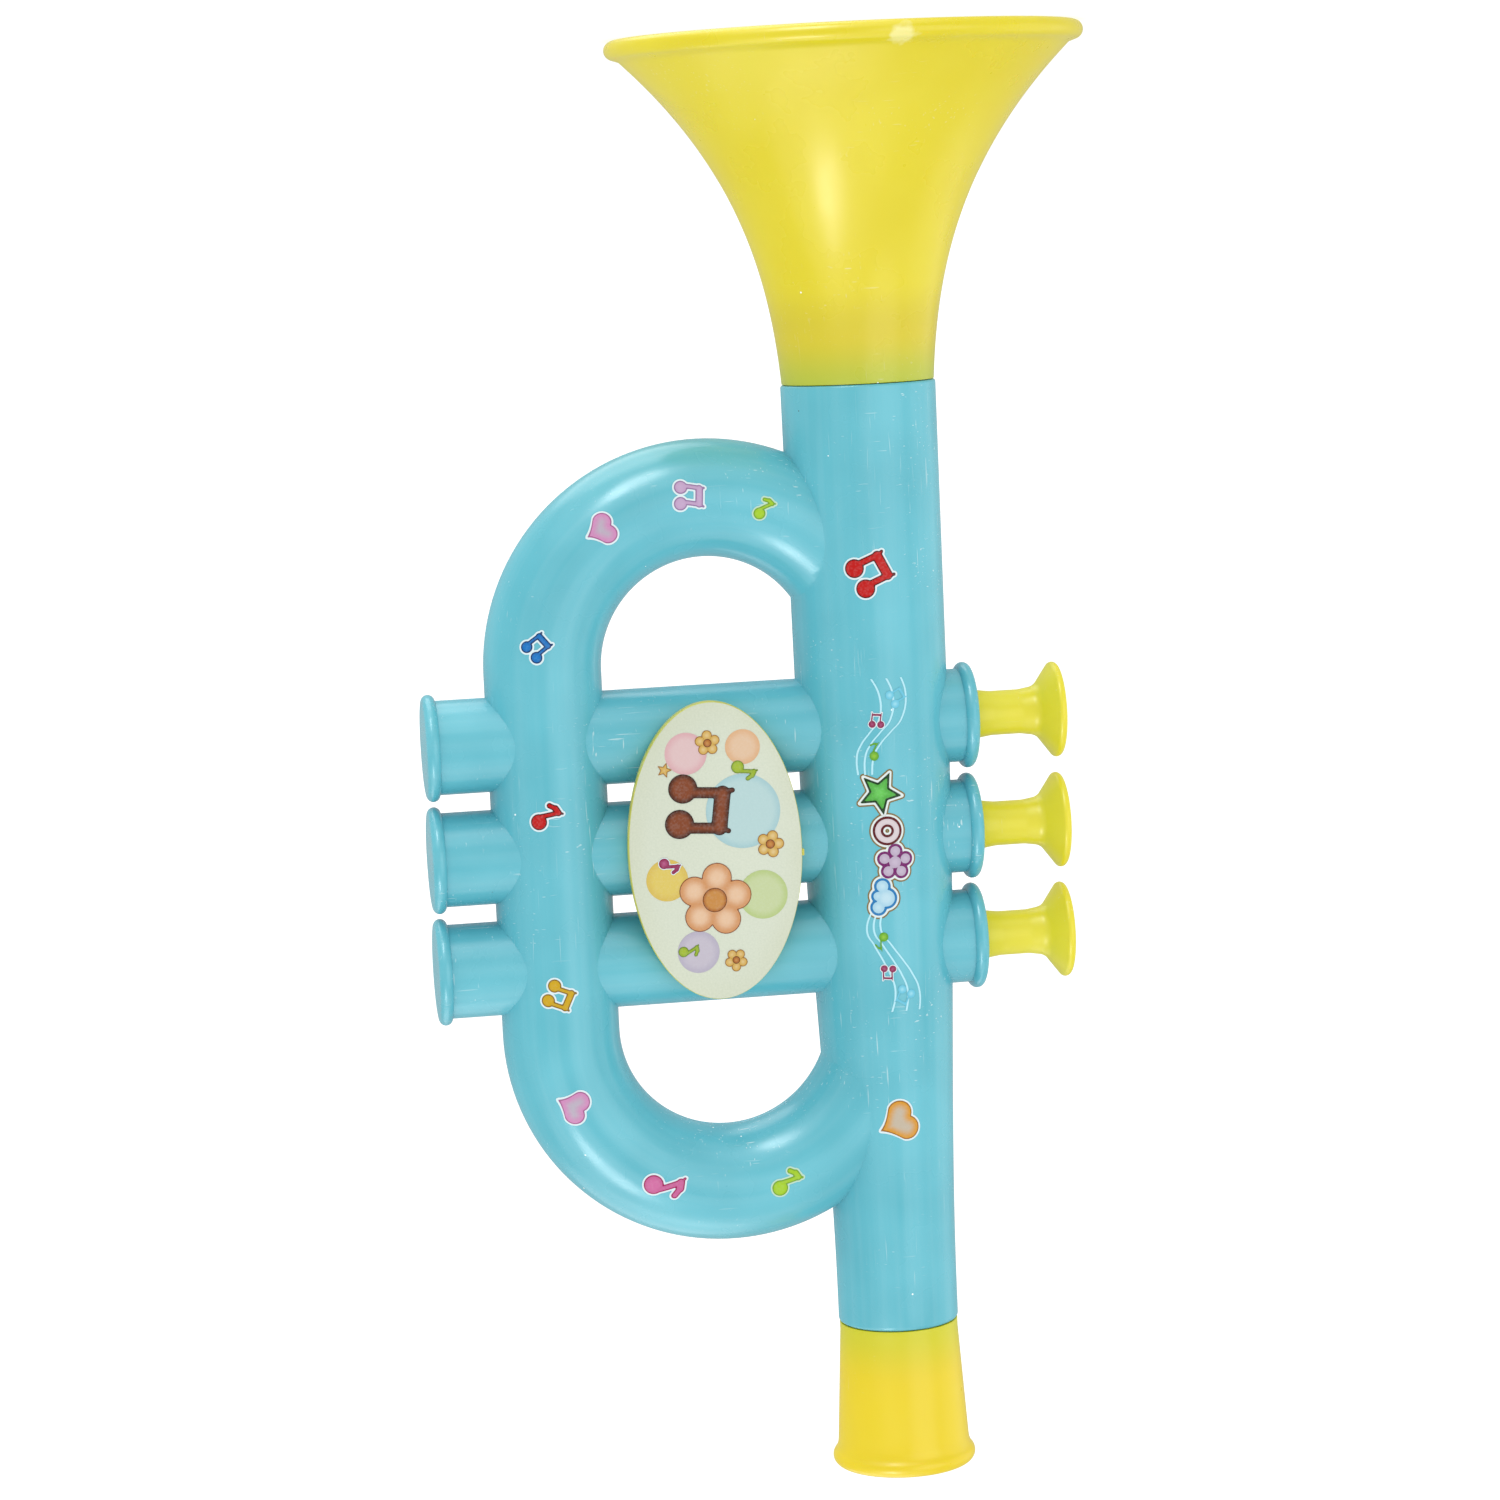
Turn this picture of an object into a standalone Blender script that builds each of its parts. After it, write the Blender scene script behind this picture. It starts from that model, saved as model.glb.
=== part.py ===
"""Toy trumpet, standing on the rim of its bell with the mouthpiece on top.

The light blue body is moulded as a front and a back half that meet on the plane of the loop.
The bell and the mouthpiece push into the main tube on spigots. Three valve buttons slide in
collars on the side of the main tube, each on a return spring that stands on a rib in the tube,
and a reed unit sits in the mouthpiece's spigot.

+Z runs along the main tube from the bell to the mouthpiece. The front, with the plaque, faces -Y,
the loop lies on the +X side and the buttons point to -X. The origin is on the floor, under the
middle of the outline.
"""

import math

import bmesh
import bpy
from mathutils import Matrix, Vector

MM = 0.001

# Walls and fits
WALL = 1.6 * MM
FIT_GAP = 0.3 * MM
SEAM_GAP = 0.12 * MM
EDGE_ROUND = 0.6 * MM
CUT_OVERRUN = 2.0 * MM

# Bell, measured from its rim
BELL_LENGTH = 59.3 * MM
BELL_RIM_R = 40.8 * MM
BELL_BEAD_R = 1.6 * MM
BELL_CREASE_DEG = 75
BELL_LAND = 2.0 * MM
BELL_WALL = 1.5 * MM
BELL_NECK_STEP = 0.25 * MM
FLARE_OVERRUN = 1.5 * MM
FLARE_SHARE = 0.73
FLARE_POWER = 3.15
FLARE_CROWDING = 1.3
SPIGOT_LENGTH = 10.0 * MM
SPIGOT_WALL = 1.5 * MM
SPIGOT_CHAMFER = 0.5 * MM

# Main tube, measured from its bell end
TUBE_LENGTH = 165.2 * MM
TUBE_START_R = 13.35 * MM
TUBE_MID_R = 13.12 * MM
TUBE_END_R = 10.5 * MM
TUBE_END_ROUND = 1.3 * MM
TAPER_START = 60.4 * MM
TAPER_LENGTH = 100.0 * MM

# Loop, a racetrack whose other leg is the main tube
LOOP_CENTRE = 78.0 * MM
LEG_SPACING = 56.9 * MM
LEG_STRAIGHT = 62.5 * MM
LOOP_TUBE_R = 10.1 * MM

# Valve tubes, which cross the main tube and the loop
VALVE_COUNT = 3
VALVE_PITCH = 19.4 * MM
VALVE_TUBE_R = 8.1 * MM
COLLAR_LENGTH = 4.05 * MM
STUB_LENGTH = 10.9 * MM
FLANGE_RISE = 1.1 * MM
FLANGE_BEAD_R = 1.15 * MM
FLANGE_CREASE_DEG = 80

# Valve buttons and their springs
STEM_R = 4.2 * MM
STEM_SHOWN = 11.3 * MM
HEAD_R = 8.3 * MM
HEAD_CONE = 3.7 * MM
HEAD_EDGE = 0.5 * MM
HEAD_DOME = 0.7 * MM
HEAD_UNDERSIDE_DEG = 50
PISTON_FLOOR = 2.0 * MM
SKIRT_LENGTH = 5.0 * MM
SKIRT_WALL = 1.2 * MM
RIB_PLACE = 2.0 * MM
RIB_THICKNESS = 1.6 * MM
RIB_MARGIN = 7.0 * MM
SPRING_PEG_LENGTH = 3.0 * MM
SPRING_PEG_GAP = 0.6 * MM
SPRING_SKIRT_GAP = 1.0 * MM
SPRING_WIRE_R = 0.4 * MM
SPRING_TURNS = 6
SPRING_POINTS_PER_TURN = 9

# Pins that locate the halves, at these angles along each bend of the loop
PIN_ANGLES = (math.radians(20.0), math.radians(90.0))
PIN_BOSS_R = 2.6 * MM
PIN_R = 1.3 * MM
PIN_LENGTH = 3.0 * MM

# Plaque and label on the front of the cross tubes
PLAQUE_WIDTH = 29.9 * MM
PLAQUE_HEIGHT = 51.3 * MM
PLAQUE_THICKNESS = 2.2 * MM
PLAQUE_EDGE = 0.5 * MM
PEG_R = 1.5 * MM
PEG_LENGTH = 3.6 * MM
LABEL_MARGIN = 0.6 * MM
LABEL_THICKNESS = 0.2 * MM
LABEL_GLUE = 0.05 * MM

# Mouthpiece
MOUTHPIECE_LENGTH = 24.9 * MM
MOUTHPIECE_STEP = 0.1 * MM
MOUTHPIECE_FLARE = 1.1 * MM
MOUTHPIECE_RIM_RISE = 1.05 * MM
MOUTHPIECE_BEAD_R = 1.6 * MM
MOUTHPIECE_CREASE_DEG = 70
CUP_DEPTH = 11.0 * MM
CUP_RIM_WALL = 2.3 * MM
THROAT_R = 3.2 * MM
THROAT_LENGTH = 7.0 * MM
REED_SEAT_WALL = 2.3 * MM

# Reed unit
REED_BUSH_LENGTH = 6.0 * MM
REED_BUSH_INSET = 0.6 * MM
TROUGH_R = 3.8 * MM
TROUGH_LENGTH = 12.0 * MM
TROUGH_END_WALL = 1.5 * MM
TROUGH_GROOVE_R = 1.7 * MM
TROUGH_GROOVE_DEPTH = 1.2 * MM
TONGUE_WIDTH = 5.0 * MM
TONGUE_THICKNESS = 0.4 * MM
TONGUE_GRIP = 4.0 * MM
WEDGE_THICKNESS = 1.7 * MM

# Facets and welds
TUBE_SIDES = 32
LOOP_SIDES = 24
VALVE_SIDES = 24
BELL_SIDES = 44
BEND_STEPS = 14
FLARE_STEPS = 10
TAPER_STEPS = 8
BEAD_STEPS = 4
ROUND_STEPS = 3
EDGE_STEPS = 2
SMALL_SIDES = 12
OVAL_SIDES = 40
OUTER_FACET_SHARE = 0.5
BORE_FACET_SHARE = 0.25
SMOOTH_ANGLE = math.radians(32.0)
SCREW_WELD = 0.01 * MM
CURVE_WELD = 0.001 * MM
BOOLEAN_WELD = 0.003 * MM

# Places along the axis, and reaches from the axis
TUBE_START = BELL_LENGTH + FIT_GAP
TUBE_END = TUBE_START + TUBE_LENGTH
MOUTHPIECE_BASE = TUBE_END + FIT_GAP
MOUTHPIECE_TOP = MOUTHPIECE_BASE + MOUTHPIECE_LENGTH
LOOP_MIDDLE = TUBE_START + LOOP_CENTRE
BEND_R = LEG_SPACING / 2
COLLAR_REACH = TUBE_START_R + COLLAR_LENGTH
STUB_REACH = LEG_SPACING + LOOP_TUBE_R + STUB_LENGTH
VALVE_BORE_R = VALVE_TUBE_R - WALL
FLANGE_R = VALVE_TUBE_R + FLANGE_RISE
SKIRT_R = VALVE_BORE_R - FIT_GAP
SPRING_R = SKIRT_R - SKIRT_WALL - SPRING_SKIRT_GAP - SPRING_WIRE_R
SPRING_PEG_R = SPRING_R - SPRING_WIRE_R - SPRING_PEG_GAP
MOUTHPIECE_BASE_R = TUBE_END_R - MOUTHPIECE_STEP
MOUTHPIECE_LIP_R = MOUTHPIECE_BASE_R + MOUTHPIECE_FLARE
MOUTHPIECE_RIM_R = MOUTHPIECE_LIP_R + MOUTHPIECE_RIM_RISE
AXIS_X = (BELL_RIM_R - STUB_REACH) / 2
VALVE_HEIGHTS = [
    LOOP_MIDDLE + (index - (VALVE_COUNT - 1) / 2) * VALVE_PITCH for index in range(VALVE_COUNT)
]

# Colours and how rough each finish is
BLUE = (0.165, 0.530, 0.640)
YELLOW = (0.820, 0.690, 0.070)
BRIGHT_YELLOW = (0.900, 0.720, 0.040)
CREAM = (0.740, 0.730, 0.560)
STEEL = (0.560, 0.570, 0.580)
IVORY = (0.800, 0.770, 0.650)
BLUE_ROUGHNESS = 0.28
YELLOW_ROUGHNESS = 0.34
PAPER_ROUGHNESS = 0.5
STEEL_ROUGHNESS = 0.3
IVORY_ROUGHNESS = 0.45


def clear_scene():
    """Removes every object that the scene starts with."""
    for obj in list(bpy.data.objects):
        bpy.data.objects.remove(obj, do_unlink=True)


def new_collection(name):
    """Returns a new collection under the scene's own."""
    collection = bpy.data.collections.new(name)
    bpy.context.scene.collection.children.link(collection)
    return collection


def new_material(name, colour, roughness, metallic=0.0):
    """Returns a Principled material."""
    material = bpy.data.materials.new(name)
    material.use_nodes = True
    shader = material.node_tree.nodes["Principled BSDF"]
    shader.inputs["Base Color"].default_value = (*colour, 1.0)
    shader.inputs["Roughness"].default_value = roughness
    shader.inputs["Metallic"].default_value = metallic
    return material


def add_object(name, data, axis, collection):
    """Links a new object, parented to the trumpet's axis, to a collection."""
    obj = bpy.data.objects.new(name, data)
    obj.parent = axis
    collection.objects.link(obj)
    return obj


def add_cutter(name, data, axis, collection):
    """Links a new object that only cuts or joins others."""
    obj = add_object(name, data, axis, collection)
    obj.hide_render = True
    obj.display_type = "WIRE"
    return obj


def evaluated_mesh(obj):
    """Returns a new mesh of the object with its modifiers applied."""
    graph = bpy.context.evaluated_depsgraph_get()
    return bpy.data.meshes.new_from_object(obj.evaluated_get(graph))


def weld(mesh, distance):
    """Joins points of a mesh that lie closer than a distance, and drops the faces that collapse."""
    form = bmesh.new()
    form.from_mesh(mesh)
    bmesh.ops.remove_doubles(form, verts=form.verts, dist=distance)
    bmesh.ops.dissolve_degenerate(form, edges=form.edges, dist=distance)
    form.to_mesh(mesh)
    form.free()


def bake(obj, material):
    """Applies a part's modifiers, welds what its Booleans left, shades it and gives it its material."""
    mesh = evaluated_mesh(obj)
    weld(mesh, BOOLEAN_WELD)
    obj.modifiers.clear()
    obj.data = mesh
    mesh.name = obj.name
    mesh.shade_smooth()
    mesh.set_sharp_from_angle(angle=SMOOTH_ANGLE)
    mesh.materials.clear()
    mesh.materials.append(material)


def combine(obj, operation, other):
    """Adds an exact Boolean modifier."""
    modifier = obj.modifiers.new(f"{operation.title()} {other.name}", "BOOLEAN")
    modifier.operation = operation
    modifier.solver = "EXACT"
    modifier.object = other


def arc(centre_r, centre_z, radius, start_deg, end_deg, steps):
    """Returns points of an arc in a profile, as (radius, height) pairs."""
    points = []
    for step in range(steps + 1):
        angle = math.radians(start_deg + (end_deg - start_deg) * step / steps)
        points.append((centre_r + radius * math.cos(angle), centre_z + radius * math.sin(angle)))
    return points


def turned(obj, profile, sides, hollow, facet_share=OUTER_FACET_SHARE):
    """Turns a profile, which runs down its outer side, about the object's Z axis.

    A hollow profile closes on itself. A solid one starts and ends on the axis. The first line
    lies a share of a facet off the X axis, so that no line of vertices falls on the seam plane,
    and a bore has its own share, so that its lines don't meet those of the face it opens in.
    """
    start = 2 * math.pi / sides * facet_share
    points = [(r * math.cos(start), r * math.sin(start), z) for r, z in profile]
    edges = [(i, i + 1) for i in range(len(points) - 1)]
    if hollow:
        edges.append((len(points) - 1, 0))
    obj.data.from_pydata(points, edges, [])
    screw = obj.modifiers.new("Turn", "SCREW")
    screw.axis = "Z"
    screw.angle = 2 * math.pi
    screw.steps = sides
    screw.render_steps = sides
    screw.use_merge_vertices = True
    screw.merge_threshold = SCREW_WELD
    screw.use_smooth_shade = True


def cylinder_mesh(name, radius, start, end, sides):
    """Returns a closed cylinder between two points."""
    start = Vector(start)
    end = Vector(end)
    along = end - start
    turn = along.to_track_quat("Z", "Y").to_matrix().to_4x4()
    place = Matrix.Translation((start + end) / 2) @ turn @ Matrix.Rotation(math.pi / sides, 4, "Z")
    form = bmesh.new()
    bmesh.ops.create_cone(
        form,
        cap_ends=True,
        segments=sides,
        radius1=radius,
        radius2=radius,
        depth=along.length,
        matrix=place,
    )
    mesh = bpy.data.meshes.new(name)
    form.to_mesh(mesh)
    form.free()
    return mesh


def box_mesh(name, low, high):
    """Returns a box between two corners."""
    low = Vector(low)
    high = Vector(high)
    place = Matrix.Translation((low + high) / 2) @ Matrix.Diagonal((*(high - low), 1.0))
    form = bmesh.new()
    bmesh.ops.create_cube(form, size=1.0, matrix=place)
    mesh = bpy.data.meshes.new(name)
    form.to_mesh(mesh)
    form.free()
    return mesh


def curve_to_mesh(curve):
    """Returns a welded mesh of curve data, which is then removed."""
    guide = bpy.data.objects.new(curve.name, curve)
    bpy.context.scene.collection.objects.link(guide)
    mesh = evaluated_mesh(guide)
    bpy.data.objects.remove(guide)
    form = bmesh.new()
    form.from_mesh(mesh)
    bmesh.ops.remove_doubles(form, verts=form.verts, dist=CURVE_WELD)
    bmesh.ops.recalc_face_normals(form, faces=form.faces)
    form.to_mesh(mesh)
    form.free()
    return mesh


def tube_mesh(name, points, radius, bevel_resolution, tilt=0.0):
    """Returns a closed round tube along points."""
    curve = bpy.data.curves.new(name, "CURVE")
    curve.dimensions = "3D"
    curve.bevel_depth = radius
    curve.bevel_resolution = bevel_resolution
    curve.use_fill_caps = True
    spline = curve.splines.new("POLY")
    spline.points.add(len(points) - 1)
    for slot, point in zip(spline.points, points):
        slot.co = (*point, 1.0)
        slot.tilt = tilt
    return curve_to_mesh(curve)


def oval_mesh(name, width, height, thickness, edge):
    """Returns an oval plate in the XY plane, centred on it, with edges rounded where edge isn't 0."""
    curve = bpy.data.curves.new(name, "CURVE")
    curve.dimensions = "2D"
    curve.fill_mode = "BOTH"
    curve.extrude = thickness / 2 - edge
    curve.bevel_depth = edge
    curve.bevel_resolution = 1
    spline = curve.splines.new("POLY")
    spline.points.add(OVAL_SIDES - 1)
    spline.use_cyclic_u = True
    for index, slot in enumerate(spline.points):
        angle = 2 * math.pi * index / OVAL_SIDES
        across = (width / 2 - edge) * math.cos(angle)
        along = (height / 2 - edge) * math.sin(angle)
        slot.co = (across, along, 0.0, 1.0)
    return curve_to_mesh(curve)


def tube_radius(height):
    """Returns the main tube's outer radius at a height above the floor."""
    along = height - TUBE_START
    if along < TAPER_START:
        return TUBE_START_R + (TUBE_MID_R - TUBE_START_R) * along / TAPER_START
    share = min((along - TAPER_START) / TAPER_LENGTH, 1.0)
    eased = share * share * (3.0 - 2.0 * share)
    return TUBE_MID_R + (TUBE_END_R - TUBE_MID_R) * eased


def taper_heights():
    """Returns the heights of the lines along the main tube's taper, from the top down."""
    start = TUBE_START + TAPER_START
    heights = [start + TAPER_LENGTH * step / TAPER_STEPS for step in range(TAPER_STEPS + 1)]
    return [height for height in reversed(heights) if height < TUBE_END - TUBE_END_ROUND]


def loop_path():
    """Returns the loop's centreline, from the main tube round both bends and back to it."""
    low = LOOP_MIDDLE - LEG_STRAIGHT / 2
    high = LOOP_MIDDLE + LEG_STRAIGHT / 2
    points = [(0.0, 0.0, low + CUT_OVERRUN)]
    for step in range(BEND_STEPS + 1):
        angle = math.pi * step / BEND_STEPS
        points.append((BEND_R - BEND_R * math.cos(angle), 0.0, low - BEND_R * math.sin(angle)))
    for step in range(BEND_STEPS + 1):
        angle = math.pi * step / BEND_STEPS
        points.append((BEND_R + BEND_R * math.cos(angle), 0.0, high + BEND_R * math.sin(angle)))
    points.append((0.0, 0.0, high - CUT_OVERRUN))
    return points


def loop_mesh(name, radius):
    """Returns the loop's tube at one radius, turned so that no vertices fall on the seam plane."""
    resolution = LOOP_SIDES // 2 - 2
    return tube_mesh(name, loop_path(), radius, resolution, tilt=math.pi / LOOP_SIDES)


def pin_places():
    """Returns where the locating pins stand, on the centreline of both bends."""
    places = []
    for angle in PIN_ANGLES:
        across = BEND_R + BEND_R * math.cos(angle)
        rise = LEG_STRAIGHT / 2 + BEND_R * math.sin(angle)
        places.append((across, LOOP_MIDDLE - rise))
        places.append((across, LOOP_MIDDLE + rise))
    return places


def peg_places():
    """Returns where the plaque's pegs stand, on the first and the last cross tube."""
    across = plaque_centre()
    return [(across, VALVE_HEIGHTS[0]), (across, VALVE_HEIGHTS[-1])]


def plaque_centre():
    """Returns how far the plaque's middle lies from the axis: half way across the loop's window."""
    return (tube_radius(LOOP_MIDDLE) + LEG_SPACING - LOOP_TUBE_R) / 2


def body_outside(axis, cutters):
    """Returns the body's outer form: the main tube joined with the loop and the valve tubes."""
    outside = add_cutter("body_outside", bpy.data.meshes.new("body_outside"), axis, cutters)
    profile = [(0.0, TUBE_END)]
    end_r = tube_radius(TUBE_END)
    profile += arc(end_r - TUBE_END_ROUND, TUBE_END - TUBE_END_ROUND, TUBE_END_ROUND, 90, 0, ROUND_STEPS)
    profile += [(tube_radius(height), height) for height in taper_heights()]
    profile += arc(TUBE_START_R - EDGE_ROUND, TUBE_START + EDGE_ROUND, EDGE_ROUND, 0, -90, EDGE_STEPS)
    profile.append((0.0, TUBE_START))
    turned(outside, profile, TUBE_SIDES, hollow=False)
    loop = add_cutter("loop_outside", loop_mesh("loop_outside", LOOP_TUBE_R), axis, cutters)
    combine(outside, "UNION", loop)
    for index, height in enumerate(VALVE_HEIGHTS):
        combine(outside, "UNION", valve_outside(index, height, axis, cutters))
    return outside


def valve_outside(index, height, axis, cutters):
    """Returns one valve tube with a beaded flange on each end, lying along X."""
    name = f"valve_outside_{index + 1}"
    tube = add_cutter(name, bpy.data.meshes.new(name), axis, cutters)
    tube.location = (0.0, 0.0, height)
    tube.rotation_euler = (0.0, math.pi / 2, 0.0)
    bead_r = FLANGE_R - FLANGE_BEAD_R
    profile = [(0.0, STUB_REACH)]
    stub_bead = STUB_REACH - FLANGE_BEAD_R
    profile += arc(bead_r, stub_bead, FLANGE_BEAD_R, 90, -FLANGE_CREASE_DEG, BEAD_STEPS)
    profile.append((VALVE_TUBE_R, STUB_REACH - 2 * FLANGE_BEAD_R))
    profile.append((VALVE_TUBE_R, 2 * FLANGE_BEAD_R - COLLAR_REACH))
    collar_bead = FLANGE_BEAD_R - COLLAR_REACH
    profile += arc(bead_r, collar_bead, FLANGE_BEAD_R, FLANGE_CREASE_DEG, -90, BEAD_STEPS)
    profile.append((0.0, -COLLAR_REACH))
    turned(tube, profile, VALVE_SIDES, hollow=False)
    return tube


def body_inside(axis, cutters):
    """Returns the body's hollow, less the ribs, spring pegs and pin bosses that stand in it."""
    inside = add_cutter("body_inside", bpy.data.meshes.new("body_inside"), axis, cutters)
    top = TUBE_END + CUT_OVERRUN
    bottom = TUBE_START - CUT_OVERRUN
    profile = [(0.0, top), (tube_radius(TUBE_END) - WALL, top)]
    profile += [(tube_radius(height) - WALL, height) for height in taper_heights()]
    profile += [(TUBE_START_R - WALL, bottom), (0.0, bottom)]
    turned(inside, profile, TUBE_SIDES, hollow=False, facet_share=BORE_FACET_SHARE)
    loop = add_cutter("loop_inside", loop_mesh("loop_inside", LOOP_TUBE_R - WALL), axis, cutters)
    combine(inside, "UNION", loop)
    for index, height in enumerate(VALVE_HEIGHTS):
        combine(inside, "UNION", valve_bore(index, height, axis, cutters))
    for keep in kept_inside(axis, cutters):
        combine(inside, "DIFFERENCE", keep)
    return inside


def valve_bore(index, height, axis, cutters):
    """Returns the bore of one valve tube, stepped down to the hole for the stem in its collar's wall."""
    name = f"valve_bore_{index + 1}"
    bore = add_cutter(name, bpy.data.meshes.new(name), axis, cutters)
    bore.location = (0.0, 0.0, height)
    bore.rotation_euler = (0.0, math.pi / 2, 0.0)
    far = STUB_REACH - WALL
    near = WALL - COLLAR_REACH
    out = -COLLAR_REACH - CUT_OVERRUN
    hole_r = STEM_R + FIT_GAP
    profile = [
        (0.0, far),
        (VALVE_BORE_R, far),
        (VALVE_BORE_R, near),
        (hole_r, near),
        (hole_r, out),
        (0.0, out),
    ]
    turned(bore, profile, VALVE_SIDES, hollow=False, facet_share=BORE_FACET_SHARE)
    return bore


def kept_inside(axis, cutters):
    """Returns the solids that stay standing in the hollow: spring rib, spring pegs and pin bosses."""
    reach = TUBE_START_R
    rib = box_mesh(
        "spring_rib",
        (RIB_PLACE, -reach, VALVE_HEIGHTS[0] - RIB_MARGIN),
        (RIB_PLACE + RIB_THICKNESS, reach, VALVE_HEIGHTS[-1] + RIB_MARGIN),
    )
    kept = [add_cutter("spring_rib", rib, axis, cutters)]
    for index, height in enumerate(VALVE_HEIGHTS):
        name = f"spring_peg_{index + 1}"
        tip = RIB_PLACE - SPRING_PEG_LENGTH
        root = RIB_PLACE + RIB_THICKNESS / 2
        peg = cylinder_mesh(name, SPRING_PEG_R, (tip, 0, height), (root, 0, height), SMALL_SIDES)
        kept.append(add_cutter(name, peg, axis, cutters))
    for index, (across, height) in enumerate(pin_places()):
        name = f"pin_boss_{index + 1}"
        front = (across, -LOOP_TUBE_R, height)
        back = (across, LOOP_TUBE_R, height)
        boss = cylinder_mesh(name, PIN_BOSS_R, front, back, SMALL_SIDES)
        kept.append(add_cutter(name, boss, axis, cutters))
    return kept


def half_block(name, side, axis, collection):
    """Returns a block that takes in one side of the seam plane: -1 for the front, 1 for the back."""
    margin = CUT_OVERRUN
    near = side * SEAM_GAP / 2
    far = side * (TUBE_START_R + margin)
    low = (-COLLAR_REACH - margin, min(near, far), TUBE_START - margin)
    high = (STUB_REACH + margin, max(near, far), TUBE_END + margin)
    return add_object(name, box_mesh(name, low, high), axis, collection)


def make_shells(axis, parts, cutters, material):
    """Makes both halves of the body: pins on the front half, sockets in the back half."""
    outside = body_outside(axis, cutters)
    inside = body_inside(axis, cutters)
    front = half_block("front_shell", -1, axis, parts)
    back = half_block("back_shell", 1, axis, parts)
    for shell in (front, back):
        combine(shell, "INTERSECT", outside)
        combine(shell, "DIFFERENCE", inside)
    for index, (across, height) in enumerate(pin_places()):
        pin_name = f"pin_{index + 1}"
        root = (across, -PIN_LENGTH, height)
        pin = cylinder_mesh(pin_name, PIN_R, root, (across, PIN_LENGTH, height), SMALL_SIDES)
        combine(front, "UNION", add_cutter(pin_name, pin, axis, cutters))
        socket_name = f"socket_{index + 1}"
        deep = (across, PIN_LENGTH + FIT_GAP, height)
        mouth = (across, -CUT_OVERRUN, height)
        socket = cylinder_mesh(socket_name, PIN_R + FIT_GAP, mouth, deep, SMALL_SIDES)
        combine(back, "DIFFERENCE", add_cutter(socket_name, socket, axis, cutters))
    for index, (across, height) in enumerate(peg_places()):
        name = f"peg_hole_{index + 1}"
        outer = (across, -VALVE_TUBE_R - CUT_OVERRUN, height)
        inner = (across, PEG_LENGTH + FIT_GAP - VALVE_TUBE_R, height)
        hole = cylinder_mesh(name, PEG_R + FIT_GAP, outer, inner, SMALL_SIDES)
        combine(front, "DIFFERENCE", add_cutter(name, hole, axis, cutters))
    bake(front, material)
    bake(back, material)


def flare_radius(height):
    """Returns the bell's outer radius: a horn curve from the rim to the neck."""
    neck = TUBE_START_R - BELL_NECK_STEP
    mouth = BELL_RIM_R + FLARE_OVERRUN
    tail = (1.0 - FLARE_SHARE) ** FLARE_POWER
    share = (1.0 - FLARE_SHARE * height / BELL_LENGTH) ** FLARE_POWER
    return neck + (mouth - neck) * (share - tail) / (1.0 - tail)


def flare_points(depth, low, high):
    """Returns points on a curve that lies a depth inside the flare, from the top down."""
    points = []
    for step in range(FLARE_STEPS + 1):
        height = BELL_LENGTH * (1.0 - step / FLARE_STEPS) ** FLARE_CROWDING
        slope = (flare_radius(height + MM) - flare_radius(height - MM)) / (2 * MM)
        length = math.hypot(1.0, slope)
        radius = flare_radius(height) - depth / length
        place = height + depth * slope / length
        if low < place < high:
            points.append((radius, place))
    return points


def make_bell(axis, parts, material):
    """Makes the bell: a flare with a beaded rim that is flat below, and a spigot for the tube."""
    bell = add_object("bell", bpy.data.meshes.new("bell"), axis, parts)
    spigot_r = TUBE_START_R - WALL - FIT_GAP
    bore_r = spigot_r - SPIGOT_WALL
    top = BELL_LENGTH + SPIGOT_LENGTH
    neck_r = flare_radius(BELL_LENGTH)
    bead_r = BELL_RIM_R - BELL_BEAD_R
    profile = [
        (spigot_r - SPIGOT_CHAMFER, top),
        (spigot_r, top - SPIGOT_CHAMFER),
        (spigot_r, BELL_LENGTH),
        (neck_r - EDGE_ROUND / 2, BELL_LENGTH),
        (neck_r, BELL_LENGTH - EDGE_ROUND / 2),
    ]
    profile += flare_points(0.0, 2 * BELL_BEAD_R, BELL_LENGTH - EDGE_ROUND)
    profile += arc(bead_r, BELL_BEAD_R, BELL_BEAD_R, BELL_CREASE_DEG, -90, 2 * BEAD_STEPS)
    land_r = bead_r - BELL_LAND
    profile.append((land_r, 0.0))
    inner = flare_points(BELL_WALL, 0.0, BELL_LENGTH - 2 * BELL_WALL)
    profile += [point for point in reversed(inner) if point[0] < land_r - EDGE_ROUND]
    profile += [(bore_r, BELL_LENGTH), (bore_r, top)]
    turned(bell, profile, BELL_SIDES, hollow=True)
    bake(bell, material)


def mouth_spigot_radius():
    """Returns the radius of the mouthpiece's spigot, which fits in the end of the main tube."""
    return tube_radius(TUBE_END) - WALL - FIT_GAP


def reed_seat_radius():
    """Returns the radius of the seat for the reed's bushing, in the mouthpiece's spigot."""
    return mouth_spigot_radius() - REED_SEAT_WALL


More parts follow.
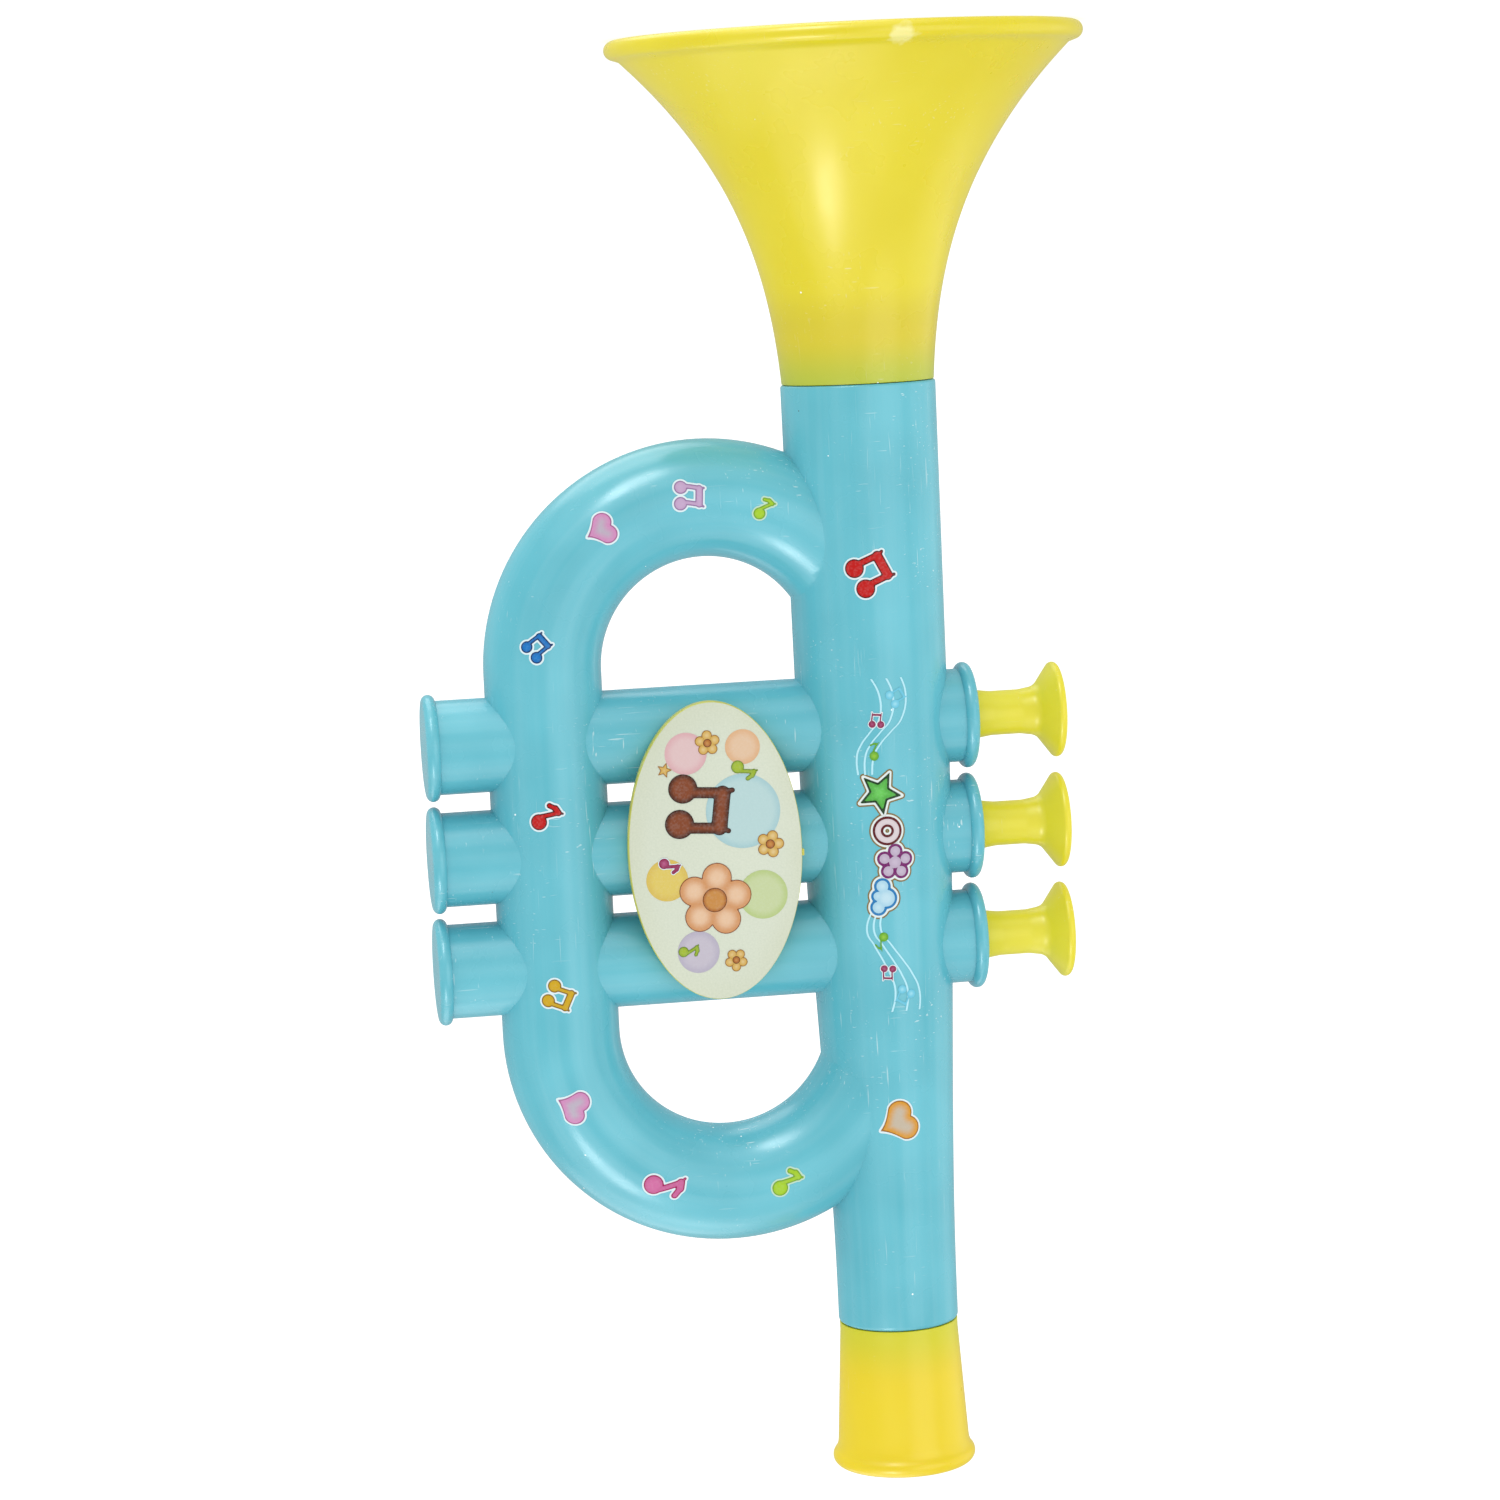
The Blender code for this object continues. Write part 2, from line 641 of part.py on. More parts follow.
def make_mouthpiece(axis, parts, material):
    """Makes the mouthpiece: a cup with a beaded rim, a throat, and a spigot that holds the reed."""
    piece = add_object("mouthpiece", bpy.data.meshes.new("mouthpiece"), axis, parts)
    base = MOUTHPIECE_BASE
    top = MOUTHPIECE_TOP
    spigot_r = mouth_spigot_radius()
    seat_r = reed_seat_radius()
    end = base - SPIGOT_LENGTH
    bead_r = MOUTHPIECE_RIM_R - MOUTHPIECE_BEAD_R
    cup_floor = top - CUP_DEPTH
    cup_r = MOUTHPIECE_RIM_R - CUP_RIM_WALL
    throat_end = cup_floor - THROAT_LENGTH
    bead_z = top - MOUTHPIECE_BEAD_R
    crease = -MOUTHPIECE_CREASE_DEG
    profile = arc(bead_r, bead_z, MOUTHPIECE_BEAD_R, 90, crease, 2 * BEAD_STEPS)
    profile += [
        (MOUTHPIECE_LIP_R, top - 2 * MOUTHPIECE_BEAD_R),
        (MOUTHPIECE_BASE_R, base + EDGE_ROUND / 2),
        (MOUTHPIECE_BASE_R - EDGE_ROUND / 2, base),
        (spigot_r, base),
        (spigot_r, end + SPIGOT_CHAMFER),
        (spigot_r - SPIGOT_CHAMFER, end),
        (seat_r, end),
        (seat_r, throat_end - (seat_r - THROAT_R)),
        (THROAT_R, throat_end),
    ]
    rise = CUP_DEPTH - EDGE_ROUND
    for step in range(BEAD_STEPS + 2):
        angle = math.pi / 2 * step / (BEAD_STEPS + 1)
        across = THROAT_R + (cup_r - THROAT_R) * math.sin(angle)
        profile.append((across, cup_floor + rise * (1.0 - math.cos(angle))))
    turned(piece, profile, TUBE_SIDES, hollow=True)
    bake(piece, material)


def make_button(index, height, axis, parts, material):
    """Makes one valve button, whose origin lies on its slide's axis, in the face of its collar.

    Local Z points out of the collar. The piston's skirt runs in the valve bore.
    """
    name = f"valve_button_{index + 1}"
    button = add_object(name, bpy.data.meshes.new(name), axis, parts)
    button.location = (-COLLAR_REACH, 0.0, height)
    button.rotation_euler = (0.0, -math.pi / 2, 0.0)
    rim = STEM_SHOWN + HEAD_CONE
    piston_top = -WALL - FIT_GAP
    floor = piston_top - PISTON_FLOOR
    skirt_end = piston_top - SKIRT_LENGTH
    dome = [(HEAD_R * share, HEAD_DOME * (1.0 - share**2)) for share in (0.0, 0.5)]
    profile = [(across, rim + HEAD_EDGE + rise) for across, rise in dome]
    profile += arc(HEAD_R - HEAD_EDGE, rim, HEAD_EDGE, 90, -HEAD_UNDERSIDE_DEG, ROUND_STEPS)
    profile += [
        (STEM_R + EDGE_ROUND, STEM_SHOWN + EDGE_ROUND),
        (STEM_R, STEM_SHOWN - EDGE_ROUND),
        (STEM_R, piston_top),
        (SKIRT_R, piston_top),
        (SKIRT_R, skirt_end),
        (SKIRT_R - SKIRT_WALL, skirt_end),
        (SKIRT_R - SKIRT_WALL, floor),
        (0.0, floor),
    ]
    turned(button, profile, VALVE_SIDES, hollow=False)
    bake(button, material)


def make_spring(index, height, axis, parts, material):
    """Makes one return spring between the piston and the rib, and prints its least gap to itself."""
    name = f"valve_spring_{index + 1}"
    seat = RIB_PLACE - FIT_GAP
    piston = WALL + FIT_GAP + PISTON_FLOOR + FIT_GAP - COLLAR_REACH
    run = seat - piston - 2 * SPRING_WIRE_R
    count = SPRING_TURNS * SPRING_POINTS_PER_TURN
    points = []
    for step in range(count + 1):
        angle = 2 * math.pi * step / SPRING_POINTS_PER_TURN
        along = SPRING_WIRE_R + run * step / count
        points.append((SPRING_R * math.cos(angle), SPRING_R * math.sin(angle), along))
    spring = add_object(name, tube_mesh(name, points, SPRING_WIRE_R, 1), axis, parts)
    spring.location = (seat, 0.0, height)
    spring.rotation_euler = (0.0, -math.pi / 2, 0.0)
    least = min(
        math.dist(points[first], points[second])
        for first in range(count)
        for second in range(first + SPRING_POINTS_PER_TURN // 2, count + 1)
    )
    print(f"{name}: least gap to itself {(least - 2 * SPRING_WIRE_R) / MM:.2f} mm")
    bake(spring, material)


def make_plaque(axis, parts, cutters, material):
    """Makes the oval plaque, with two pegs that push into the cross tubes."""
    mesh = oval_mesh("plaque", PLAQUE_WIDTH, PLAQUE_HEIGHT, PLAQUE_THICKNESS, PLAQUE_EDGE)
    plaque = add_object("plaque", mesh, axis, parts)
    depth = VALVE_TUBE_R + FIT_GAP + PLAQUE_THICKNESS / 2
    plaque.location = (plaque_centre(), -depth, LOOP_MIDDLE)
    plaque.rotation_euler = (math.pi / 2, 0.0, 0.0)
    for index, (across, height) in enumerate(peg_places()):
        name = f"plaque_peg_{index + 1}"
        tip = (across, PEG_LENGTH - VALVE_TUBE_R, height)
        peg = cylinder_mesh(name, PEG_R, (across, -depth, height), tip, SMALL_SIDES)
        combine(plaque, "UNION", add_cutter(name, peg, axis, cutters))
    bake(plaque, material)


def make_label(axis, parts, material):
    """Makes the paper label on the plaque's face."""
    width = PLAQUE_WIDTH - 2 * LABEL_MARGIN
    height = PLAQUE_HEIGHT - 2 * LABEL_MARGIN
    mesh = oval_mesh("label", width, height, LABEL_THICKNESS, 0.0)
    label = add_object("label", mesh, axis, parts)
    face = VALVE_TUBE_R + FIT_GAP + PLAQUE_THICKNESS
    depth = face + LABEL_GLUE + LABEL_THICKNESS / 2
    label.location = (plaque_centre(), -depth, LOOP_MIDDLE)
    label.rotation_euler = (math.pi / 2, 0.0, 0.0)
    bake(label, material)


def make_reed(axis, parts, cutters, materials):
    """Makes the reed unit: a bushing with a trough, the tongue over the trough, and its wedge."""
    bush_low = MOUTHPIECE_BASE - SPIGOT_LENGTH + REED_BUSH_INSET
    bush_high = bush_low + REED_BUSH_LENGTH
    trough_low = bush_low - TROUGH_LENGTH
    bush_r = reed_seat_radius() - FIT_GAP
    slot_top = bush_low + TONGUE_GRIP + FIT_GAP
    # A gap in front of the tongue, one behind it and one behind the wedge
    slot_y = TONGUE_THICKNESS + WEDGE_THICKNESS + 3 * FIT_GAP
    half_slot = TONGUE_WIDTH / 2 + FIT_GAP

    bush = cylinder_mesh("reed_holder", bush_r, (0, 0, bush_low), (0, 0, bush_high), VALVE_SIDES)
    holder = add_object("reed_holder", bush, axis, parts)
    trough_top = (0, 0, bush_low + REED_BUSH_LENGTH / 2)
    trough = cylinder_mesh("reed_trough", TROUGH_R, (0, 0, trough_low), trough_top, VALVE_SIDES)
    combine(holder, "UNION", add_cutter("reed_trough", trough, axis, cutters))
    face = box_mesh(
        "reed_face",
        (-2 * TROUGH_R, 0.0, trough_low - CUT_OVERRUN),
        (2 * TROUGH_R, 2 * TROUGH_R, bush_low),
    )
    combine(holder, "DIFFERENCE", add_cutter("reed_face", face, axis, cutters))
    slot = box_mesh(
        "reed_slot",
        (-half_slot, 0.0, bush_low - CUT_OVERRUN),
        (half_slot, slot_y, slot_top),
    )
    combine(holder, "DIFFERENCE", add_cutter("reed_slot", slot, axis, cutters))
    groove = cylinder_mesh(
        "reed_groove",
        TROUGH_GROOVE_R,
        (0, -TROUGH_GROOVE_DEPTH, trough_low + TROUGH_END_WALL),
        (0, -TROUGH_GROOVE_DEPTH, bush_high + CUT_OVERRUN),
        SMALL_SIDES,
    )
    combine(holder, "DIFFERENCE", add_cutter("reed_groove", groove, axis, cutters))
    bake(holder, materials["ivory"])

    tongue_low = trough_low + FIT_GAP
    tongue_high = bush_low + TONGUE_GRIP
    tongue_back = FIT_GAP + TONGUE_THICKNESS
    tongue = box_mesh(
        "reed_tongue",
        (-TONGUE_WIDTH / 2, FIT_GAP, tongue_low),
        (TONGUE_WIDTH / 2, tongue_back, tongue_high),
    )
    bake(add_object("reed_tongue", tongue, axis, parts), materials["steel"])

    wedge_front = tongue_back + FIT_GAP
    wedge = box_mesh(
        "reed_wedge",
        (-TONGUE_WIDTH / 2, wedge_front, bush_low),
        (TONGUE_WIDTH / 2, wedge_front + WEDGE_THICKNESS, tongue_high),
    )
    bake(add_object("reed_wedge", wedge, axis, parts), materials["ivory"])


def main():
    """Builds the trumpet."""
    clear_scene()
    parts = new_collection("toy_trumpet")
    cutters = new_collection("cutters")
    axis = bpy.data.objects.new("main_axis", None)
    axis.location = (AXIS_X, 0.0, 0.0)
    parts.objects.link(axis)
    materials = {
        "blue": new_material("body_blue", BLUE, BLUE_ROUGHNESS),
        "yellow": new_material("bell_yellow", YELLOW, YELLOW_ROUGHNESS),
        "button": new_material("button_yellow", YELLOW, YELLOW_ROUGHNESS),
        "mouth": new_material("mouthpiece_yellow", BRIGHT_YELLOW, YELLOW_ROUGHNESS),
        "plaque": new_material("plaque_yellow", YELLOW, YELLOW_ROUGHNESS),
        "paper": new_material("label_paper", CREAM, PAPER_ROUGHNESS),
        "steel": new_material("spring_steel", STEEL, STEEL_ROUGHNESS, metallic=1.0),
        "ivory": new_material("reed_ivory", IVORY, IVORY_ROUGHNESS),
    }
    bpy.context.view_layer.update()
    make_shells(axis, parts, cutters, materials["blue"])
    make_bell(axis, parts, materials["yellow"])
    make_mouthpiece(axis, parts, materials["mouth"])
    for index, height in enumerate(VALVE_HEIGHTS):
        make_button(index, height, axis, parts, materials["button"])
        make_spring(index, height, axis, parts, materials["steel"])
    make_plaque(axis, parts, cutters, materials["plaque"])
    make_label(axis, parts, materials["paper"])
    make_reed(axis, parts, cutters, materials)


if __name__ == "__main__":
    main()
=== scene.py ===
"""Looks of the toy trumpet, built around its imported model.

The trumpet stands on the rim of its bell: +Z runs along the main tube to the mouthpiece, the
plaque faces -Y, the loop lies on the +X side and the buttons point to -X. Sizes are in
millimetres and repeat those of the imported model. Finished meshes are in metres.
"""

import logging
import math
from collections.abc import Sequence
from dataclasses import dataclass, field
from enum import Enum

import bmesh
import bpy
import numpy as np
from mathutils import Matrix, Vector

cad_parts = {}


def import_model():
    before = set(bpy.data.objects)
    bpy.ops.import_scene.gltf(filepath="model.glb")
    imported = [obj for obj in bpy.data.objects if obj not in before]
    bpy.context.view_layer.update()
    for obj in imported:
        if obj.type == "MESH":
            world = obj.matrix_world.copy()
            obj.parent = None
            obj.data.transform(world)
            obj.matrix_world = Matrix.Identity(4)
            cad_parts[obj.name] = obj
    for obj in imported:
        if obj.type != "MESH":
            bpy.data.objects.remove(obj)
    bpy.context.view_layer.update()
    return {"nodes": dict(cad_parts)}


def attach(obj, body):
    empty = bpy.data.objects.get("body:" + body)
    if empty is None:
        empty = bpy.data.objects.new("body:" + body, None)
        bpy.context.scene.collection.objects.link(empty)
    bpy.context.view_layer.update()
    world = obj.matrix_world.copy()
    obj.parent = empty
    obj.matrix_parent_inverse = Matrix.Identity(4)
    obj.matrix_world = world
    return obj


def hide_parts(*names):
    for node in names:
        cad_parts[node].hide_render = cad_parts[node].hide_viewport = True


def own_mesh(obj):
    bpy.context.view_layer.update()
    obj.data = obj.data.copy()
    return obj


MM = 0.001
# Share of a profile's side that a fillet may take, and the radius of a point on the axis
FILLET_SHARE = 0.45
AXIS_REACH = 1e-6
WHITE = (1.0, 1.0, 1.0, 1.0)
log = logging.getLogger("toy_trumpet")

Pair = tuple[float, float]
Triple = tuple[float, float, float]
Profile = list[Pair]
Form = tuple[np.ndarray, list[tuple[int, ...]]]
Ends = tuple[Triple, Triple]
Socket = bpy.types.NodeSocket
Term = Socket | float | tuple[float, ...] | None


class Join(Enum):
    """How one solid is combined with another."""

    ADD = "UNION"
    CUT = "DIFFERENCE"
    KEEP = "INTERSECT"


class Motif(Enum):
    """Kinds of printed motif."""

    DISC = "disc"
    RING = "ring"
    HEART = "heart"
    STAR = "star"
    FLOWER = "flower"
    CLOUD = "cloud"
    SINGLE_NOTE = "single note"
    DOUBLE_NOTE = "double note"


class Kind(Enum):
    """Kinds of node: Blender's name, and the setting that says what a node works out."""

    ADD = ("ShaderNodeMath", "operation", "ADD")
    ATTRIBUTE = ("ShaderNodeAttribute",)
    BUMP = ("ShaderNodeBump",)
    CELLS = ("ShaderNodeTexVoronoi",)
    CIRCLE = ("GeometryNodeCurvePrimitiveCircle",)
    COMBINE = ("ShaderNodeCombineXYZ",)
    COORDINATES = ("ShaderNodeTexCoord",)
    COSINE = ("ShaderNodeMath", "operation", "COSINE")
    CURVE = ("ShaderNodeFloatCurve",)
    DISTANCE = ("ShaderNodeVectorMath", "operation", "DISTANCE")
    DIVIDE = ("ShaderNodeMath", "operation", "DIVIDE")
    EASED_RANGE = ("ShaderNodeMapRange", "interpolation_type", "SMOOTHSTEP")
    GIVEN = ("NodeGroupInput",)
    GRID = ("GeometryNodeMeshGrid",)
    INSTANCES = ("GeometryNodeInstanceOnPoints",)
    LENGTH = ("ShaderNodeVectorMath", "operation", "LENGTH")
    LESS_THAN = ("ShaderNodeMath", "operation", "LESS_THAN")
    LIGHT_PATH = ("ShaderNodeLightPath",)
    LINE = ("GeometryNodeCurvePrimitiveLine",)
    MAPPING = ("ShaderNodeMapping",)
    MAXIMUM = ("ShaderNodeMath", "operation", "MAXIMUM")
    MESH_LINE = ("GeometryNodeMeshLine",)
    MESH_TO_CURVE = ("GeometryNodeMeshToCurve",)
    MULTIPLY = ("ShaderNodeMath", "operation", "MULTIPLY")
    MULTIPLY_ADD = ("ShaderNodeMath", "operation", "MULTIPLY_ADD")
    NOISE = ("ShaderNodeTexNoise",)
    POSITION = ("GeometryNodeInputPosition",)
    RANGE = ("ShaderNodeMapRange",)
    REALIZE = ("GeometryNodeRealizeInstances",)
    RESAMPLE = ("GeometryNodeResampleCurve",)
    RESULT = ("NodeGroupOutput",)
    ROUND = ("ShaderNodeMath", "operation", "ROUND")
    SET_MATERIAL = ("GeometryNodeSetMaterial",)
    SET_POSITION = ("GeometryNodeSetPosition",)
    SINE = ("ShaderNodeMath", "operation", "SINE")
    SPLINE_SHARE = ("GeometryNodeSplineParameter",)
    SPLIT = ("ShaderNodeSeparateXYZ",)
    SPLIT_COLOUR = ("ShaderNodeSeparateColor",)
    SUBTRACT = ("ShaderNodeMath", "operation", "SUBTRACT")
    SWEEP = ("GeometryNodeCurveToMesh",)
    TINT = ("ShaderNodeMix", "data_type", "RGBA")
    UV_MAP = ("ShaderNodeUVMap",)


def linear(code: str) -> tuple[float, float, float, float]:
    """Turns an sRGB hex code into a linear colour.

    Args:
        code: six hex digits after a #.

    Returns:
        Red, green, blue and an alpha of 1.
    """
    shares = [int(code[start : start + 2], 16) / 255 for start in (1, 3, 5)]
    red, green, blue = (
        share / 12.92 if share <= 0.04045 else ((share + 0.055) / 1.055) ** 2.4 for share in shares
    )
    return red, green, blue, 1.0


class NodeNet:
    """A node tree, which takes nodes with their settings, values and links."""

    def __init__(self, tree: bpy.types.NodeTree) -> None:
        """Keeps the tree."""
        self.tree = tree

    def give(self, socket: Socket, term: Term) -> None:
        """Links an input to another node's output, or sets its value.

        Args:
            socket: the input.
            term: the output, or the value.
        """
        if isinstance(term, Socket):
            self.tree.links.new(term, socket)
        else:
            socket.default_value = term

    def add(self, kind: Kind, *terms: Term, **settings: str) -> Socket:
        """Adds a node.

        Args:
            kind: its kind.
            terms: what its inputs in use take, in order. One that is None stays as it is.
            settings: its other attributes.

        Returns:
            The first of its outputs in use.
        """
        node = self.tree.nodes.new(kind.value[0])
        if kind.value[1:]:
            setattr(node, *kind.value[1:])
        for name, value in settings.items():
            setattr(node, name, value)
        used = [socket for socket in node.inputs if socket.enabled]
        for socket, term in zip(used, terms):
            if term is not None:
                self.give(socket, term)
        return next((socket for socket in node.outputs if socket.enabled), None)


def new_object(name: str, form: Form) -> bpy.types.Object:
    """Makes an object of points in millimetres and faces.

    Args:
        name: the object's name.
        form: its points and faces.

    Returns:
        The object, linked to the scene.
    """
    points, faces = form
    mesh = bpy.data.meshes.new(name)
    mesh.from_pydata((np.asarray(points) * MM).tolist(), [], faces)
    obj = bpy.data.objects.new(name, mesh)
    bpy.context.scene.collection.objects.link(obj)
    return obj


def settle(obj: bpy.types.Object) -> None:
    """Replaces an object's mesh with its evaluated one and removes its modifiers.

    Args:
        obj: the object.
    """
    graph = bpy.context.evaluated_depsgraph_get()
    mesh = bpy.data.meshes.new_from_object(obj.evaluated_get(graph))
    obj.modifiers.clear()
    obj.data = mesh
    mesh.name = obj.name


def combine(obj: bpy.types.Object, other: bpy.types.Object, join: Join, again: bool = False) -> None:
    """Combines a solid with another one.

    Args:
        obj: the solid that is changed.
        other: the solid that it is combined with, which is then removed.
        join: how.
        again: whether the other one stays, to be used again.
    """
    modifier = obj.modifiers.new(join.value, "BOOLEAN")
    modifier.operation = join.value
    modifier.solver = "MANIFOLD"
    modifier.object = other
    settle(obj)
    if not again:
        bpy.data.objects.remove(other)


def finish_piece(
    obj: bpy.types.Object,
    material: bpy.types.Material,
    body: str = "trumpet",
    nodes: Sequence[str] = (),
    sharp_deg: float = 35.0,
) -> None:
    """Shades a piece, dresses it and hands it to the frame.

    Args:
        obj: the piece.
        material: its finish.
        body: the body that it rides on.
        nodes: the nodes that it stands for.
        sharp_deg: the angle between faces past which an edge stays sharp.
    """
    mesh = obj.data
    mesh.materials.clear()
    mesh.materials.append(material)
    mesh.shade_smooth()
    mesh.set_sharp_from_angle(angle=math.radians(sharp_deg))
    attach(obj, body)
    if nodes:
        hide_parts(*nodes)
    mesh.calc_loop_triangles()
    log.info("%s: %d triangles", obj.name, len(mesh.loop_triangles))


def arc(centre: Pair, radius: float, start: float, end: float, steps: int) -> Profile:
    """Returns an arc in a profile.

    Args:
        centre: radius and height of its middle.
        radius: its own radius.
        start: angle of the first point, in degrees from the outward direction.
        end: angle of the last point.
        steps: how many chords it has.

    Returns:
        The arc's points, as (radius, height) pairs.
    """
    angles = np.radians(np.linspace(start, end, steps + 1))
    return [(centre[0] + radius * math.cos(a), centre[1] + radius * math.sin(a)) for a in angles]


def rounded(corners: Sequence[Triple], closed: bool, steps: int = 5) -> Profile:
    """Rounds the corners of a profile.

    Args:
        corners: radius, height and fillet radius of each corner.
        closed: whether the last corner joins the first.
        steps: how many chords a fillet has.

    Returns:
        The profile's points.
    """
    profile: Profile = []
    last = len(corners) - 1
    for index, (across, height, fillet) in enumerate(corners):
        here = Vector((across, height))
        if fillet == 0.0 or (not closed and index in (0, last)):
            profile.append(here.to_tuple())
            continue
        back = Vector(corners[index - 1][:2]) - here
        forth = Vector(corners[(index + 1) % len(corners)][:2]) - here
        half = back.angle(forth) / 2
        run = min(fillet / math.tan(half), FILLET_SHARE * back.length, FILLET_SHARE * forth.length)
        size = run * math.tan(half)
        middle = here + (back.normalized() + forth.normalized()).normalized() * (size / math.sin(half))
        first = here + back.normalized() * run - middle
        final = here + forth.normalized() * run - middle
        begin = math.atan2(first.y, first.x)
        sweep = math.remainder(math.atan2(final.y, final.x) - begin, 2 * math.pi)
        for step in range(steps + 1):
            angle = begin + sweep * step / steps
            profile.append((middle.x + size * math.cos(angle), middle.y + size * math.sin(angle)))
    return profile


def eased(start: Sequence[float], bend: Sequence[float], end: Sequence[float], steps: int) -> Profile:
    """Draws a smooth curve in a profile.

    Args:
        start: radius and height of its first point.
        bend: the point that it is drawn towards.
        end: its last point.
        steps: how many chords it has.

    Returns:
        The curve's points.
    """
    shares = np.linspace(0.0, 1.0, steps + 1)[:, None]
    first, middle, last = np.array(start), np.array(bend), np.array(end)
    curve = (1 - shares) ** 2 * first + 2 * shares * (1 - shares) * middle + shares**2 * last
    return [(float(across), float(height)) for across, height in curve]


def turned(profile: Profile, sides: int, closed: bool) -> Form:
    """Turns a profile, which runs down its outer side, about the Z axis.

    Args:
        profile: its points. A solid's profile starts and ends on the axis.
        sides: how many facets go round.
        closed: whether the profile closes on itself, as a hollow piece's does.

    Returns:
        Points and faces, with one point at each pole.
    """
    angles = 2 * np.pi * (np.arange(sides) + 0.5) / sides
    points: list[Triple] = []
    rows: list[list[int]] = []
    for across, height in profile:
        spokes = angles if across > AXIS_REACH else angles[:1]
        rows.append(list(range(len(points), len(points) + len(spokes))))
        points += [(across * math.cos(a), across * math.sin(a), height) for a in spokes]
    pairs = list(zip(rows, rows[1:]))
    if closed:
        pairs.append((rows[-1], rows[0]))
    faces = []
    for upper, lower in pairs:
        for side in range(sides):
            near, far = side, (side + 1) % sides
            ring = [
                upper[near % len(upper)],
                lower[near % len(lower)],
                lower[far % len(lower)],
                upper[far % len(upper)],
            ]
            faces.append(tuple(dict.fromkeys(ring)))
    return np.array(points), faces


def cylinder(radius: float, start: Sequence[float], end: Sequence[float], sides: int) -> Form:
    """Returns a closed cylinder between two points.

    Args:
        radius: its radius.
        start: the middle of one end.
        end: the middle of the other.
        sides: how many facets go round.

    Returns:
        Points and faces.
    """
    first, last = Vector(start), Vector(end)
    length = (last - first).length
    points, faces = turned([(0.0, length), (radius, length), (radius, 0.0), (0.0, 0.0)], sides, False)
    place = Matrix.Translation(first) @ (last - first).to_track_quat("Z", "Y").to_matrix().to_4x4()
    return moved(points, place), faces


def block(low: Sequence[float], high: Sequence[float]) -> Form:
    """Returns a box.

    Args:
        low: its lowest corner.
        high: its highest corner.

    Returns:
        Points and faces.
    """
    corners = [(x, y, z) for x in (low[0], high[0]) for y in (low[1], high[1]) for z in (low[2], high[2])]
    faces = [(0, 1, 3, 2), (4, 6, 7, 5), (0, 4, 5, 1), (2, 3, 7, 6), (0, 2, 6, 4), (1, 5, 7, 3)]
    return np.array(corners), faces


def read(items: bpy.types.bpy_prop_collection, name: str) -> np.ndarray:
    """Reads a property of a mesh.

    Args:
        items: the mesh's vertices, loops or polygons.
        name: the property's name.

    Returns:
        The values of all items, end to end.
    """
    first = np.atleast_1d(getattr(items[0], name))
    values = np.empty(len(items) * len(first), dtype=np.int32 if first.dtype.kind == "i" else float)
    items.foreach_get(name, values)
    return values


def moved(points: np.ndarray, place: Matrix) -> np.ndarray:
    """Returns points moved and turned by a matrix."""
    matrix = np.array(place)
    return points @ matrix[:3, :3].T + matrix[:3, 3]


class ShapeRule(NodeNet):
    """A Geometry Nodes tree with named inputs, which is run once to give a plain mesh."""

    def __init__(self, name: str, values: dict[str, float | int | bpy.types.Material]) -> None:
        """Starts the tree.

        Args:
            name: the tree's name.
            values: what each named input is set to.
        """
        super().__init__(bpy.data.node_groups.new(name, "GeometryNodeTree"))
        self.values = values
        face = self.tree.interface
        face.new_socket("Geometry", in_out="OUTPUT", socket_type="NodeSocketGeometry")
        face.new_socket("Geometry", in_out="INPUT", socket_type="NodeSocketGeometry")
        kinds = {int: "NodeSocketInt", float: "NodeSocketFloat"}
        for label, value in values.items():
            face.new_socket(label, in_out="INPUT", socket_type=kinds.get(type(value), "NodeSocketMaterial"))
        self.given = self.add(Kind.GIVEN).node.outputs

    def tube(self, line: Socket, radius: Socket, sides: Socket) -> Socket:
        """Returns a closed round tube along a line."""
        return self.add(Kind.SWEEP, line, self.add(Kind.CIRCLE, sides, radius), None, True)

    def close(self, geometry: Socket) -> None:
        """Ends the tree with real geometry in its material."""
        real = self.add(Kind.REALIZE, geometry)
        self.add(Kind.RESULT, self.add(Kind.SET_MATERIAL, real, None, self.given["Material"]))

    def run(self, obj: bpy.types.Object) -> None:
        """Runs the tree on an object and keeps the result as its mesh.

        Args:
            obj: the object, which the tree is given.
        """
        modifier = obj.modifiers.new(self.tree.name, "NODES")
        modifier.node_group = self.tree
        for socket in self.tree.interface.items_tree:
            if socket.in_out == "INPUT" and socket.name in self.values:
                modifier[socket.identifier] = self.values[socket.name]
        settle(obj)


@dataclass(frozen=True)
class Finish:
    """A finish whose patterns follow the piece's own coordinates."""

    name: str

    def material(self) -> bpy.types.Material:
        """Makes the material.

        Returns:
            A material with the finish's look.
        """
        material = bpy.data.materials.new(self.name)
        material.use_nodes = True
        net = NodeNet(material.node_tree)
        place = net.add(Kind.COORDINATES).node.outputs["Object"]
        shader = material.node_tree.nodes["Principled BSDF"]
        for name, term in self.look(net, place).items():
            net.give(shader.inputs[name], term)
        return material

    def look(self, net: NodeNet, place: Socket) -> dict[str, Term]:
        """Returns what the shader's inputs take.

        Args:
            net: the material's nodes.
            place: the place on the piece.

        Returns:
            Sockets and values by the names of the inputs.
        """
        raise NotImplementedError


@dataclass(frozen=True)
class Fade:
    """A colour that a piece is tinted towards over a span of heights along the main tube's axis."""

    colour: str
    start: float
    end: float
    amount: float


@dataclass(frozen=True)
class Chafe:
    """A patch that has rubbed pale, with a ragged edge."""

    place: Triple
    reach: float
    colour: str
    amount: float = 0.6
    grit: float = 1.5
    raggedness: float = 0.8
    edge: Pair = (0.8, 1.1)


@dataclass(frozen=True)
class Specks:
    """Small marks in a few of the cells that the surface is divided into."""

    cell: float
    reach: float
    colour: str


